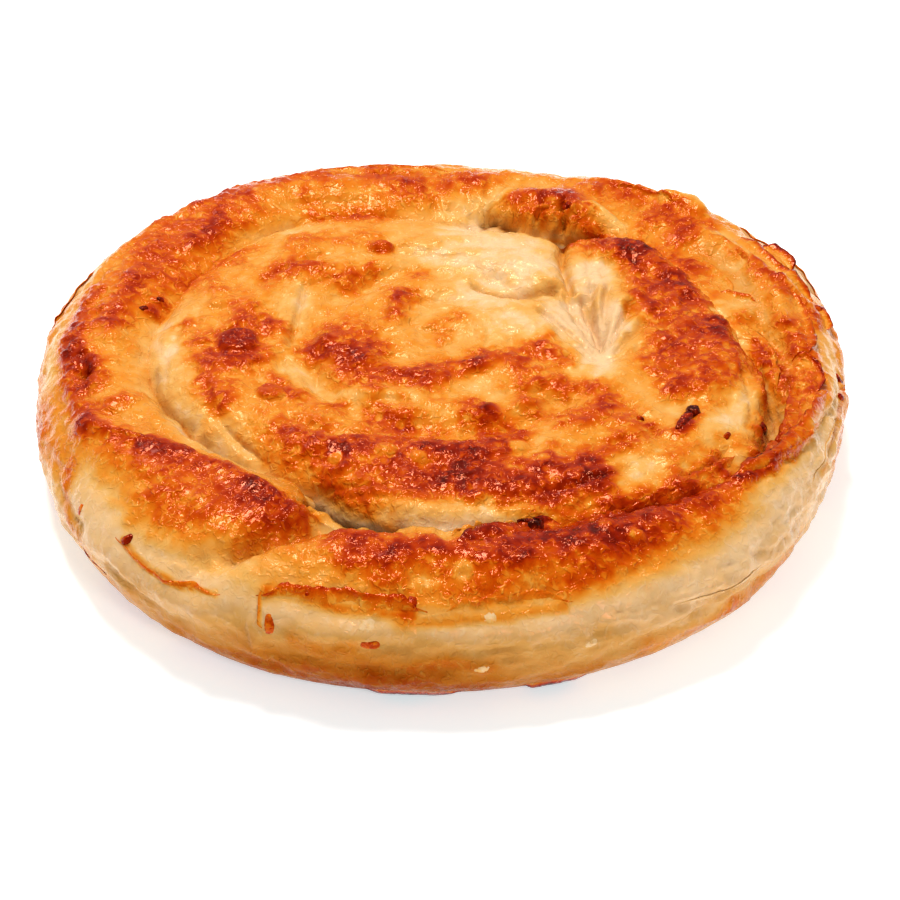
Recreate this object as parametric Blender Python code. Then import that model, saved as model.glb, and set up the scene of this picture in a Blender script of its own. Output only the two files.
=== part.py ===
"""Coiled filled pastry: one roll of thin leaf dough wound flat into a round cake.

Metres, +Z up. The cake rests on its flat underside at z = 0, with the middle of its box on the Z axis
and the side that is looked at facing -Y.

The cake is a loft between unlike sections. Each section is one radial slice: the crown of the inner coil,
the crease where the outer turn lies against it, the crown of the outer turn, and the side that rounds
under to the flat base. Pinches, the open roll end and the swells of the dough are pressed into the top.
"""

import math

import bmesh
import bpy

MM = 0.001
CAKE = "coiled_pastry"

# Plan: the cake's edge and the crease round the inner coil, each a mean radius and the waves on it.
# A wave is (waves in a turn, cosine part, sine part), its parts in millimetres.
EDGE_RADIUS = 90.0 * MM
EDGE_WAVES = ((2, 0.79, 0.94), (3, 0.13, 1.88), (4, -1.31, 0.39), (5, -0.15, 0.20))
CREASE_RADIUS = 61.2 * MM
CREASE_WAVES = ((1, 3.52, -6.22), (2, 5.17, -2.67), (3, -0.32, 0.78), (4, -0.57, -1.82), (5, -1.13, -1.70))

# Heights
COIL_HEIGHT = 27.0 * MM
COIL_DISH = 1.0 * MM
TURN_HEIGHT = 26.4 * MM
WIDEST_HEIGHT = 12.4 * MM

# Roundings: how wide each shoulder is in plan. Where the outer turn is narrow, its side takes a share of it.
COIL_SHOULDER = 13.0 * MM
SIDE_SHOULDER = 14.5 * MM
SIDE_SHARE = 0.64
BASE_SHOULDER = 10.5 * MM

# The crease is deeper in some directions: (direction in degrees, spread in degrees, extra depth in mm)
CREASE_DEPTH = 4.2 * MM
CREASE_DEEPS = ((72.0, 16.0, 3.0), (252.0, 15.0, 4.6), (215.0, 26.0, 1.4))

# Pinches pressed into the top: (start, middle, end, width, depth), a curve through three points in mm
PINCHES = (
    ((27.0, 37.0), (28.0, 16.0), (34.0, -13.0), 4.6, 3.6),
    ((-26.0, -57.0), (-28.0, -65.0), (-37.0, -73.0), 4.8, 2.2),
    ((5.0, 26.0), (9.0, 18.0), (27.0, 17.0), 3.0, 0.8),
    ((-80.0, -8.0), (-77.0, -6.0), (-76.0, -3.0), 3.4, 1.2),
)
# Raised folds, written in the same way: the crumpled end of the roll and the rolls' high ridges
FOLDS = (
    ((19.0, 50.0), (25.0, 54.0), (32.0, 50.0), 4.6, 4.4),
    ((40.0, 39.0), (62.0, 20.0), (56.0, -16.0), 5.5, 1.2),
    ((-76.0, -25.0), (-56.0, -37.0), (-33.0, -61.0), 5.0, 1.1),
    ((-5.0, -70.0), (22.0, -66.0), (46.0, -57.0), 5.0, 0.9),
)
CURVE_STEPS = 10

# The faint crease between the first and second turns, a spiral that winds in round its own middle
SPIRAL_MIDDLE = (1.0 * MM, 4.0 * MM)
SPIRAL_RADII = (36.0 * MM, 24.0 * MM)
SPIRAL_DIRECTIONS = (-28.0, -345.0)
SPIRAL_WIDTH = 4.6 * MM
SPIRAL_DEPTH = 1.9 * MM
SPIRAL_STEPS = 30

# Swells of the risen dough: (waves in 100 mm along x, along y, phase, height in mm)
SWELLS = ((1.3, 0.7, 0.4, 0.40), (-0.9, 1.9, 2.1, 0.34), (2.6, 1.9, 4.0, 0.26), (-3.1, 1.2, 5.2, 0.18))
SWELL_SPAN = 100.0 * MM
# Soft horizontal folds round the side: (waves in a turn, waves up the side, phase, depth in mm)
SIDE_FOLDS = ((7, 1.5, 0.6, 0.35), (11, 2.4, 2.9, 0.25), (4, 0.9, 4.4, 0.40))

SECTIONS = 126
COIL_RINGS = 16
TURN_RINGS = 5
SHOULDER_RINGS = 6
BASE_RINGS = 5
RING_CROWDING = 0.85


def waved_radius(mean, waves, angle):
    """Return the radius of a waved ring in one direction."""
    radius = mean
    for count, cosine, sine in waves:
        radius += MM * (cosine * math.cos(count * angle) + sine * math.sin(count * angle))
    return radius


def edge_radius(angle):
    """Return how far the cake's widest line is from the axis."""
    return waved_radius(EDGE_RADIUS, EDGE_WAVES, angle)


def crease_radius(angle):
    """Return how far the crease round the inner coil is from the axis."""
    return waved_radius(CREASE_RADIUS, CREASE_WAVES, angle)


def side_shoulder(angle):
    """Return how wide the rounding from the outer turn's crown to the widest line is."""
    return min(SIDE_SHOULDER, SIDE_SHARE * (edge_radius(angle) - crease_radius(angle)))


def crease_depth(angle):
    """Return how far the crease drops below the crowns beside it."""
    depth = CREASE_DEPTH
    for direction, spread, extra in CREASE_DEEPS:
        turn = math.radians(direction)
        apart = math.degrees(math.atan2(math.sin(angle - turn), math.cos(angle - turn)))
        depth += extra * MM * math.exp(-(apart / spread) ** 2)
    return depth


def three_point_curve(start, middle, end):
    """Return points along the parabola that starts, bends and ends at the given places."""
    points = []
    for step in range(CURVE_STEPS + 1):
        t = step / CURVE_STEPS
        weights = ((1 - t) * (1 - 2 * t), 4 * t * (1 - t), t * (2 * t - 1))
        x = sum(w * p[0] for w, p in zip(weights, (start, middle, end)))
        y = sum(w * p[1] for w, p in zip(weights, (start, middle, end)))
        points.append((x * MM, y * MM))
    return points


def spiral_points():
    """Return points along the faint inner crease, from its outer end inwards."""
    points = []
    for step in range(SPIRAL_STEPS + 1):
        share = step / SPIRAL_STEPS
        radius = SPIRAL_RADII[0] + share * (SPIRAL_RADII[1] - SPIRAL_RADII[0])
        degrees = SPIRAL_DIRECTIONS[0] + share * (SPIRAL_DIRECTIONS[1] - SPIRAL_DIRECTIONS[0])
        turn = math.radians(degrees)
        x = SPIRAL_MIDDLE[0] + radius * math.cos(turn)
        y = SPIRAL_MIDDLE[1] + radius * math.sin(turn)
        points.append((x, y))
    return points


def distance_to_curve(x, y, points):
    """Return the shortest distance from a place to a run of straight steps."""
    nearest = math.inf
    for (ax, ay), (bx, by) in zip(points, points[1:]):
        run = (bx - ax) ** 2 + (by - ay) ** 2
        along = ((x - ax) * (bx - ax) + (y - ay) * (by - ay)) / run
        along = min(1.0, max(0.0, along))
        nearest = min(nearest, math.hypot(x - ax - along * (bx - ax), y - ay - along * (by - ay)))
    return nearest


def bell(distance, width):
    """Return a smooth hump of height 1 that has faded away two widths from its middle."""
    return math.exp(-(distance / width) ** 2)


PINCH_LINES = [(three_point_curve(a, b, c), width * MM, -depth * MM) for a, b, c, width, depth in PINCHES]
FOLD_LINES = [(three_point_curve(a, b, c), width * MM, height * MM) for a, b, c, width, height in FOLDS]
SPIRAL_LINE = (spiral_points(), SPIRAL_WIDTH, -SPIRAL_DEPTH)


def relief(x, y):
    """Return how far the dough stands above or below its plain crowns."""
    lift = 0.0
    for points, width, height in [*PINCH_LINES, *FOLD_LINES, SPIRAL_LINE]:
        lift += height * bell(distance_to_curve(x, y, points), width)
    for along_x, along_y, phase, height in SWELLS:
        lift += height * MM * math.sin(2 * math.pi * (along_x * x + along_y * y) / SWELL_SPAN + phase)
    return lift


def quarter_round(share):
    """Return the height share of a quarter ellipse, 0 at its foot and 1 at its crown."""
    return math.sqrt(max(0.0, 1.0 - (1.0 - share) ** 2))


def coil_top(radius, angle):
    """Return the height of the inner coil's crown."""
    crease = crease_radius(angle)
    share = min(1.0, (crease - radius) / COIL_SHOULDER)
    dish = COIL_DISH * bell(radius, 0.6 * crease)
    return COIL_HEIGHT - dish - crease_depth(angle) * (1.0 - quarter_round(share))


def turn_top(radius, angle):
    """Return the height of the outer turn between the crease and the line of its crown."""
    crease = crease_radius(angle)
    crown = edge_radius(angle) - side_shoulder(angle)
    share = min(1.0, (radius - crease) / (crown - crease))
    foot = COIL_HEIGHT - crease_depth(angle)
    return foot + (TURN_HEIGHT - foot) * quarter_round(share)


def side_fold(angle, height):
    """Return how far a soft fold sets the side in or out."""
    share = height / TURN_HEIGHT
    depth = 0.0
    for round_waves, up_waves, phase, size in SIDE_FOLDS:
        depth += size * MM * math.sin(round_waves * angle + 2 * math.pi * up_waves * share + phase)
    return depth * math.sin(math.pi * share)


def slice_points(angle):
    """Return the (radius, height) points of one radial slice, from the top's middle out to the base."""
    crease = crease_radius(angle)
    edge = edge_radius(angle)
    shoulder = side_shoulder(angle)
    crown = edge - shoulder
    points = []
    for ring in range(1, COIL_RINGS + 1):
        radius = crease * (ring / COIL_RINGS) ** RING_CROWDING
        points.append((radius, coil_top(radius, angle)))
    for ring in range(1, TURN_RINGS + 1):
        radius = crease + (crown - crease) * (ring / TURN_RINGS) ** (1 / RING_CROWDING)
        points.append((radius, turn_top(radius, angle)))
    for ring in range(1, SHOULDER_RINGS + 1):
        turn = 0.5 * math.pi * ring / SHOULDER_RINGS
        height = WIDEST_HEIGHT + (TURN_HEIGHT - WIDEST_HEIGHT) * math.cos(turn)
        points.append((crown + shoulder * math.sin(turn) + side_fold(angle, height), height))
    for ring in range(1, BASE_RINGS + 1):
        turn = 0.5 * math.pi * ring / BASE_RINGS
        height = WIDEST_HEIGHT * (1.0 - math.sin(turn))
        radius = edge - BASE_SHOULDER * (1.0 - math.cos(turn))
        points.append((radius + side_fold(angle, height), height))
    return points


def top_lift(x, y, height):
    """Return the relief at a place, fading out down the side."""
    fade = min(1.0, max(0.0, (height - WIDEST_HEIGHT) / (COIL_HEIGHT - WIDEST_HEIGHT)))
    return relief(x, y) * fade


def build_cake_mesh():
    """Loft the radial slices into one closed skin and return it as a mesh."""
    shape = bmesh.new()
    middle_height = coil_top(0.0, 0.0) + relief(0.0, 0.0)
    middle = shape.verts.new((0.0, 0.0, middle_height))
    sections = []
    for index in range(SECTIONS):
        angle = 2 * math.pi * index / SECTIONS
        section = []
        for radius, height in slice_points(angle):
            x = radius * math.cos(angle)
            y = radius * math.sin(angle)
            section.append(shape.verts.new((x, y, height + top_lift(x, y, height))))
        sections.append(section)
    for index, section in enumerate(sections):
        beside = sections[(index + 1) % SECTIONS]
        shape.faces.new((middle, section[0], beside[0]))
        for ring in range(len(section) - 1):
            shape.faces.new((section[ring], section[ring + 1], beside[ring + 1], beside[ring]))
    shape.faces.new([section[-1] for section in reversed(sections)])
    centre_in_plan(shape)
    mesh = bpy.data.meshes.new(CAKE)
    shape.to_mesh(mesh)
    shape.free()
    mesh.shade_smooth()
    return mesh


def centre_in_plan(shape):
    """Move the skin so that the middle of its box lies on the Z axis."""
    for axis in (0, 1):
        low = min(vertex.co[axis] for vertex in shape.verts)
        high = max(vertex.co[axis] for vertex in shape.verts)
        for vertex in shape.verts:
            vertex.co[axis] -= 0.5 * (low + high)


def baked_dough():
    """Return the material of the oiled, oven-browned dough."""
    material = bpy.data.materials.new("oiled_browned_dough")
    material.use_nodes = True
    shader = material.node_tree.nodes["Principled BSDF"]
    shader.inputs["Base Color"].default_value = (0.68, 0.34, 0.09, 1.0)
    shader.inputs["Roughness"].default_value = 0.42
    shader.inputs["Metallic"].default_value = 0.0
    return material


def main():
    """Build the cake in an empty scene."""
    for old in list(bpy.data.objects):
        bpy.data.objects.remove(old, do_unlink=True)
    collection = bpy.data.collections.new("burek")
    bpy.context.scene.collection.children.link(collection)
    cake = bpy.data.objects.new(CAKE, build_cake_mesh())
    cake.data.materials.append(baked_dough())
    collection.objects.link(cake)


main()
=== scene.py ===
"""Looks of a coiled savoury pastry: oven-browned leaf dough on a white studio floor.

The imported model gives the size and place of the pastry. This script puts a finely modelled skin in its
place: the outer turn of the roll and the coil inside it as closed bodies that press against each other, the
torn leaf edges that stand off them, and the crumbs that baked onto them.

Places are millimetres in the plan of the pastry: x to the viewer's right, y away from the viewer, z up from
the floor. They become metres, centred on the model's box, when a mesh is made.
"""

from __future__ import annotations

import logging
import math
from collections.abc import Iterable
from dataclasses import dataclass, field
from enum import Enum

import bpy
import numpy as np
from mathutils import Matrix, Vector
from mathutils.bvhtree import BVHTree


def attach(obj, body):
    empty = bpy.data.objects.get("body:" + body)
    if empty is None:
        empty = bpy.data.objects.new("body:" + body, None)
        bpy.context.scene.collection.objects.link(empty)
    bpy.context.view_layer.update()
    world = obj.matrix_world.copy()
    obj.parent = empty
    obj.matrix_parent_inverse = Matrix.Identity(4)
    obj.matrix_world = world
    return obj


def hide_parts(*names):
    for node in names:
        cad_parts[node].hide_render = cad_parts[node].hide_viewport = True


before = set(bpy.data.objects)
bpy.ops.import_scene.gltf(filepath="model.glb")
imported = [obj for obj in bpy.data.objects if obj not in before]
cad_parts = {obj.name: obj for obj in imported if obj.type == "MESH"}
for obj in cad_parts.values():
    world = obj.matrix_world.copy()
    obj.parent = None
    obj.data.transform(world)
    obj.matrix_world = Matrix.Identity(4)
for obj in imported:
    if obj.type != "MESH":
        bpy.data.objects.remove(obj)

LOG = logging.getLogger("pastry")
MM = 0.001
FRAME_PIXELS = 900
NODE = "coiled_pastry"
BODY = "root"
TAU = 2.0 * math.pi
QUARTER_TURN = 0.5 * math.pi
# How many lattice slopes the noises choose from; a power of two
LATTICE = 256
# Loose pieces stay this far off the floor, and their crests bend over from this height on, in millimetres
LOOSE_FLOOR = 0.15
LOOSE_BEND = 27.2
# What is painted on the hidden wall and base below the crease, browning and painted shade alike
HIDDEN_PAINT = 0.25

Faces = list[tuple[int, ...]]
# Vertices of a leaf or crumb, its faces, and the browning of each vertex
LoosePart = tuple[np.ndarray, Faces, np.ndarray]
# Each swell of a size: its direction in degrees, its spread in degrees, and how much more there is there
Swells = tuple[tuple[float, float, float], ...]


# ---------------------------------------------------------------- noise


class DoughNoise:
    """Smooth repeatable noise over places in millimetres."""

    def __init__(self, seed: int) -> None:
        """Shuffle the lattice from a seed.

        Args:
            seed: Any whole number; each gives another noise.
        """
        draw = np.random.default_rng(seed)
        self.order = np.concatenate([draw.permutation(LATTICE)] * 3)
        slopes = draw.normal(size=(LATTICE, 3))
        self.slopes = slopes / np.linalg.norm(slopes, axis=1, keepdims=True)

    def picked(self, corners: np.ndarray) -> np.ndarray:
        """Return which lattice slope belongs to each corner of a cell."""
        spot = corners & (LATTICE - 1)
        return self.order[self.order[self.order[spot[:, 0]] + spot[:, 1]] + spot[:, 2]]

    def at(self, places: np.ndarray) -> np.ndarray:
        """Return gradient noise, about -1 to 1, with features one unit across.

        Args:
            places: Rows of three coordinates.

        Returns:
            One value for each row.
        """
        cell = np.floor(places).astype(int)
        inside = places - cell
        ease = inside ** 3 * (inside * (inside * 6.0 - 15.0) + 10.0)
        total = np.zeros(len(places))
        for corner in range(8):
            step = np.array([corner & 1, corner >> 1 & 1, corner >> 2 & 1])
            pick = self.picked(cell + step)
            reach = np.einsum("ij,ij->i", self.slopes[pick], inside - step)
            weight = np.prod(np.where(step, ease, 1.0 - ease), axis=1)
            total += weight * reach
        return total * 1.6

    def layered(self, places: np.ndarray, layers: int = 3, gain: float = 0.5) -> np.ndarray:
        """Return noise summed over finer and finer layers.

        Args:
            places: Rows of three coordinates.
            layers: How many layers to add.
            gain: How strong each layer is beside the one before.

        Returns:
            One value for each row, about -1 to 1.
        """
        total = np.zeros(len(places))
        share = 1.0
        whole = 0.0
        for layer in range(layers):
            total += share * self.at(places * 2.03 ** layer + 17.3 * layer)
            whole += share
            share *= gain
        return total / whole

    def creased(self, places: np.ndarray, layers: int = 2) -> np.ndarray:
        """Return noise with rounded swells between sharp creases.

        Args:
            places: Rows of three coordinates.
            layers: How many layers to add.

        Returns:
            One value for each row, 0 in a crease and about 1 on a swell.
        """
        total = np.zeros(len(places))
        share = 1.0
        for layer in range(layers):
            total += share * np.abs(self.at(places * 2.1 ** layer + 9.1 * layer))
            share *= 0.5
        return np.minimum(1.0, 1.6 * total)

    def cells(self, places: np.ndarray) -> tuple[np.ndarray, np.ndarray]:
        """Return how far each place is from the nearest scattered point, and that point's own value.

        Args:
            places: Rows of three coordinates, with about one scattered point in each unit cube.

        Returns:
            The distances, and one value from 0 to 1 for the nearest point of each row.
        """
        cell = np.floor(places).astype(int)
        nearest = np.full(len(places), 9.0)
        value = np.zeros(len(places))
        for corner in range(27):
            step = np.array([corner % 3 - 1, corner // 3 % 3 - 1, corner // 9 - 1])
            pick = self.picked(cell + step)
            point = cell + step + 0.5 + 0.42 * self.slopes[pick]
            apart = np.linalg.norm(places - point, axis=1)
            closer = apart < nearest
            nearest = np.where(closer, apart, nearest)
            value = np.where(closer, pick / (LATTICE - 1.0), value)
        return nearest, value


def bell(distance: np.ndarray, width: float) -> np.ndarray:
    """Return a smooth hump, 1 in the middle and faded away two widths off."""
    return np.exp(-((distance / width) ** 2))


def ramp(value: np.ndarray, low: float, high: float) -> np.ndarray:
    """Return a smooth rise from 0 at low to 1 at high."""
    share = np.clip((value - low) / (high - low), 0.0, 1.0)
    return share * share * (3.0 - 2.0 * share)


def under_height(z: np.ndarray, bend: float = 26.6, limit: float = 28.2) -> np.ndarray:
    """Return heights whose tallest crests are pressed down to stay under a limit."""
    over = np.maximum(z - bend, 0.0)
    return np.where(z > bend, bend + (limit - bend) * np.tanh(over / (limit - bend)), z)


def turn_apart(angle: np.ndarray, degrees: float) -> np.ndarray:
    """Return how many degrees each angle is from a direction, signed."""
    off = angle - math.radians(degrees)
    return np.degrees(np.arctan2(np.sin(off), np.cos(off)))


# ---------------------------------------------------------------- plan of the coil


def swelled(angle: np.ndarray, base: float | np.ndarray, swells: Swells) -> np.ndarray:
    """Return a size that is the same all round but for a few swells.

    Args:
        angle: Directions round the axis.
        base: The size between the swells.
        swells: The swells.

    Returns:
        The size in each direction.
    """
    total = base + np.zeros_like(angle)
    for direction, spread, extra in swells:
        total = total + extra * bell(turn_apart(angle, direction), spread)
    return total


@dataclass(frozen=True)
class WavedRing:
    """A ring round the axis whose radius has waves that go all round it and single swells.

    Each wave is how many there are in a turn, its cosine part and its sine part.
    """

    mean: float
    waves: tuple[tuple[int, float, float], ...]
    swells: Swells = ()

    def radius(self, angle: np.ndarray) -> np.ndarray:
        """Return the ring's radius.

        Args:
            angle: Directions round the axis.

        Returns:
            The radius in each direction.
        """
        total = np.full_like(angle, self.mean)
        for count, cosine, sine in self.waves:
            total = total + cosine * np.cos(count * angle) + sine * np.sin(count * angle)
        return swelled(angle, total, self.swells)


@dataclass(frozen=True)
class CoilPlan:
    """The sizes that the outer turn and the inner coil share."""

    edge: WavedRing = WavedRing(90.0, ((2, 0.79, 0.94), (3, 0.13, 1.88), (4, -1.31, 0.39), (5, -0.15, 0.20)))
    crease: WavedRing = WavedRing(
        61.2,
        ((1, 3.52, -6.22), (2, 5.17, -2.67), (3, -0.32, 0.78), (4, -0.57, -1.82), (5, -1.13, -1.70)),
        ((108.0, 36.0, 9.5), (243.0, 34.0, -3.0), (238.0, 13.0, -3.4)),
    )
    coil_height: float = 26.6
    turn_height: float = 26.0
    foot_height: float = 10.0
    widest_height: float = 12.2
    coil_shoulder: float = 13.0
    side_shoulder: float = 14.5
    side_share: float = 0.64
    base_shoulder: float = 10.5
    crease_depth: float = 5.2
    # Where the sizes above swell
    deeper: Swells = (
        (66.0, 12.0, 2.6), (250.0, 13.0, 7.0), (215.0, 26.0, 2.6), (350.0, 36.0, 0.4), (130.0, 50.0, -0.6),
    )
    wider_shoulder: Swells = ((214.0, 24.0, 6.5), (270.0, 20.0, 4.4))
    taller: Swells = (
        (112.0, 26.0, 1.7), (150.0, 20.0, 0.5), (214.0, 20.0, 0.7), (262.0, 18.0, 0.9), (30.0, 20.0, -0.6),
    )
    undercut: Swells = ((217.0, 17.0, 5.5), (300.0, 16.0, 1.5), (130.0, 40.0, 2.0))
    # How far the turns stand apart at the front opening and at the back one
    gap: Swells = ((251.0, 10.0, 1.7), (62.0, 7.0, 0.6))
    # How round the lips of the crease are: 1 is a round shoulder, less is squarer
    lip_round: float = 0.86
    coil_round: float = 0.78
    squarer: Swells = ((250.0, 40.0, -0.32),)

    def shoulder(self, angle: np.ndarray) -> np.ndarray:
        """Return how wide the rounding from the outer turn's crown to its side is.

        Args:
            angle: Directions round the axis.

        Returns:
            The width in each direction.
        """
        width = self.edge.radius(angle) - self.crease.radius(angle)
        wider = swelled(angle, 0.0, self.wider_shoulder)
        return wider + np.minimum(self.side_shoulder, self.side_share * width)

    def depth(self, angle: np.ndarray) -> np.ndarray:
        """Return how deep the crease between the outer turn and the coil is."""
        return swelled(angle, self.crease_depth, self.deeper)

    def overlap(self, angle: np.ndarray, half_width: np.ndarray) -> np.ndarray:
        """Return how far a round shoulder reaches past the crease line, so that two meet at its depth.

        Args:
            angle: Directions round the axis.
            half_width: How wide the shoulder is up to the crease line.

        Returns:
            The reach past the line; it is less than nothing where the turns stand apart.
        """
        share = 1.0 - self.depth(angle) / (self.coil_height - self.foot_height)
        meeting = np.sqrt(1.0 - np.clip(share, 0.02, 0.98) ** 2)
        opening = swelled(angle, 0.0, self.gap)
        closed = 1.0 - ramp(opening, 0.2, 0.9)
        return half_width * (1.0 / meeting - 1.0) * closed - opening

    def middle(self) -> np.ndarray:
        """Find the middle of the plan's box.

        Returns:
            Its x and y.
        """
        angle = np.linspace(0.0, TAU, 720, endpoint=False)
        x = self.edge.radius(angle) * np.cos(angle)
        y = self.edge.radius(angle) * np.sin(angle)
        return np.array([0.5 * (x.min() + x.max()), 0.5 * (y.min() + y.max())])


PLAN = CoilPlan()


# ---------------------------------------------------------------- marks laid over the plan


class Profile(Enum):
    """How a mark's strength runs across its width."""

    SWELL = "swell"  # rounded, strongest on the line
    CREASE = "crease"  # sharp on the line, like a fold pressed in
    LEDGE = "ledge"  # full height just left of the line and nothing to its right, like a leaf's edge
    RING = "ring"  # strongest on a circle round the line, like the rim of a burst blister


@dataclass(frozen=True)
class Stroke:
    """A mark along a curve through three places, fading out across its width and at its ends."""

    start: tuple[float, float]
    bend: tuple[float, float]
    end: tuple[float, float]
    width: float
    strength: float
    profile: Profile = Profile.SWELL

    def points(self, steps: int = 8) -> np.ndarray:
        """Follow the parabola through the three places.

        Args:
            steps: How many steps to cut it into.

        Returns:
            The points, one to a row.
        """
        t = np.linspace(0.0, 1.0, steps + 1)[:, None]
        first = (1.0 - t) * (1.0 - 2.0 * t) * np.array(self.start)
        return first + 4.0 * t * (1.0 - t) * np.array(self.bend) + t * (2.0 * t - 1.0) * np.array(self.end)

    def nearest(self, x: np.ndarray, y: np.ndarray) -> tuple[np.ndarray, np.ndarray, np.ndarray]:
        """Return where each place lies beside the curve.

        Args:
            x: First coordinates.
            y: Second coordinates.

        Returns:
            The distances; 1 to the left of the curve as it runs or -1 to its right; and the share of the way
            along it, 0 to 1.
        """
        corners = self.points()
        distance = np.full_like(x, np.inf)
        side = np.zeros_like(x)
        along = np.zeros_like(x)
        for step, ((ax, ay), (bx, by)) in enumerate(zip(corners, corners[1:])):
            run = (bx - ax) ** 2 + (by - ay) ** 2 + 1e-9
            share = np.clip(((x - ax) * (bx - ax) + (y - ay) * (by - ay)) / run, 0.0, 1.0)
            apart = np.hypot(x - ax - share * (bx - ax), y - ay - share * (by - ay))
            turn = np.sign((bx - ax) * (y - ay) - (by - ay) * (x - ax))
            closer = apart < distance
            distance = np.where(closer, apart, distance)
            side = np.where(closer, turn, side)
            along = np.where(closer, (step + share) / (len(corners) - 1), along)
        return distance, side, along

    def mark(self, x: np.ndarray, y: np.ndarray) -> np.ndarray:
        """Return the mark's strength.

        Args:
            x: First coordinates.
            y: Second coordinates.

        Returns:
            One value for each place.
        """
        near = np.abs(x - self.bend[0]) + np.abs(y - self.bend[1]) < self.reach()
        total = np.zeros_like(x)
        if near.any():
            total[near] = self.strength * self.across(x[near], y[near])
        return total

    def across(self, x: np.ndarray, y: np.ndarray) -> np.ndarray:
        """Return what share of its strength the mark has.

        Args:
            x: First coordinates.
            y: Second coordinates.

        Returns:
            One value for each place.
        """
        distance, side, along = self.nearest(x, y)
        if self.profile is Profile.SWELL:
            return bell(distance, self.width)
        if self.profile is Profile.RING:
            return bell(distance - self.width, 0.35 * self.width)
        ends = ramp(along, 0.0, 0.14) * (1.0 - ramp(along, 0.86, 1.0))
        if self.profile is Profile.CREASE:
            return ends * np.exp(-distance / self.width)
        fall = 1.0 - ramp(distance, 0.25 * self.width, self.width)
        return ends * ramp(side * distance, -0.25, 0.25) * fall

    def reach(self) -> float:
        """Return how far from the bend the mark may still show, in steps along both coordinates."""
        ends = [abs(p[0] - self.bend[0]) + abs(p[1] - self.bend[1]) for p in (self.start, self.end)]
        return max(ends) + 4.5 * self.width


def spot(x: float, y: float, width: float, strength: float, profile: Profile = Profile.SWELL) -> Stroke:
    """Return a round mark."""
    return Stroke((x - 0.05, y), (x, y), (x + 0.05, y), width, strength, profile)


def line(
    x0: float, y0: float, x1: float, y1: float, x2: float, y2: float, width: float, strength: float,
    profile: Profile = Profile.SWELL,
) -> Stroke:
    """Return a mark along a curve through three places."""
    return Stroke((x0, y0), (x1, y1), (x2, y2), width, strength, profile)


def crease(
    x0: float, y0: float, x1: float, y1: float, x2: float, y2: float, width: float, depth: float
) -> Stroke:
    """Return a sharp crease through three places."""
    return line(x0, y0, x1, y1, x2, y2, width, -depth, Profile.CREASE)


def ledge(
    x0: float, y0: float, x1: float, y1: float, x2: float, y2: float, width: float, height: float
) -> Stroke:
    """Return a leaf's edge through three places, with the leaf to its left."""
    return line(x0, y0, x1, y1, x2, y2, width, height, Profile.LEDGE)


def drawn(marks: Iterable[Stroke], x: np.ndarray, y: np.ndarray) -> np.ndarray:
    """Return the strength of many marks added up at each place.

    Args:
        marks: The marks.
        x: First coordinates.
        y: Second coordinates.

    Returns:
        One value for each place.
    """
    total = np.zeros_like(x)
    for mark in marks:
        total = total + mark.mark(x, y)
    return total


# Where the oven browned the top most, by part of the coil. A strength of 1 is nearly burnt, and one below
# nothing is a paler blister or chink among the brown.
SCORCH_COIL_LEFT = (
    spot(-44.5, 2, 6.4, 0.5), spot(-45, -2, 9, 0.34), line(-47, -7, -43, -7, -40, -4, 3, 0.35),
    line(-51, -13, -49, -16, -47, -21, 3.2, 0.48), spot(-52, -6, 3, 0.25),
    line(-36, -13, -34, -15, -31, -17, 3.6, 0.45), line(-42, 12, -40, 10, -37, 8, 3.4, 0.4),
    line(-55, 30, -50, 36, -44, 40, 3.6, 0.28), spot(-42, 28, 13, 0.1), spot(-18, 20, 15, 0.07),
    line(-57, 9, -54, 6, -52, 3, 3.4, 0.3), spot(-50, 25, 2.6, 0.3),
    line(-36, 29, -33, 31, -30, 31, 3.6, 0.38), spot(-31, 5, 2.2, 0.12),
    line(-48, 18, -46, 14, -45, 10, 4, 0.18), line(-33, 41, -26, 44, -16, 43, 3.4, 0.26),
    spot(-13.5, 40, 2.6, 0.45), line(-24, 28, -20, 29, -16, 30, 2.6, 0.42), spot(-8, 21, 2.8, 0.4),
    line(-10, 20, -10, 17, -11, 12, 2.8, 0.42), spot(-5, 30, 2.6, 0.3), spot(-21, 25, 2.4, 0.3),
)
SCORCH_COIL_MIDDLE = (
    line(-28, 0, -23, -1, -18, -4, 4, 0.62), line(-24, 6, -19, 5, -15, 0, 4.6, 0.45),
    spot(-24, -4, 2.6, 0.25), line(-21, -8, -18, -12, -15, -14, 4, 0.42),
    line(-16, -9, -10, -11, -4, -10, 3.8, 0.48), spot(-5, -14, 3, 0.3),
    line(0, -11, 3, -8, 7, -6, 3.6, 0.52), spot(6.5, -6.5, 2, 0.3), line(9, -4, 12, -4, 17, -6, 3.6, 0.42),
    line(17, -2, 22, -1, 25, -6, 3.8, 0.48), line(17, -13, 21, -13, 25, -14, 3.2, 0.5), spot(22, 2, 3, 0.3),
    spot(-22, -21, 3.2, 0.42), line(6, -20, 7, -22, 9, -25, 2.8, 0.35), line(3, 12, 1, 8, 0, 4, 3, 0.22),
    line(-13, -24, -10, -27, -11, -33, 4.4, 0.6), line(-9, -24, -6, -27, -3, -30, 3.4, 0.35),
    line(8, -25, 12, -28, 15, -32, 4, 0.6), line(19, -21, 22, -23, 26, -25, 3.4, 0.42),
    spot(0, -19, 4, 0.18), line(31, -14, 34, -16, 36, -19, 3.4, 0.5),
    line(33, -22, 31, -26, 27, -27, 3.6, 0.4), spot(33, -19, 2, -0.1),
)
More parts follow.
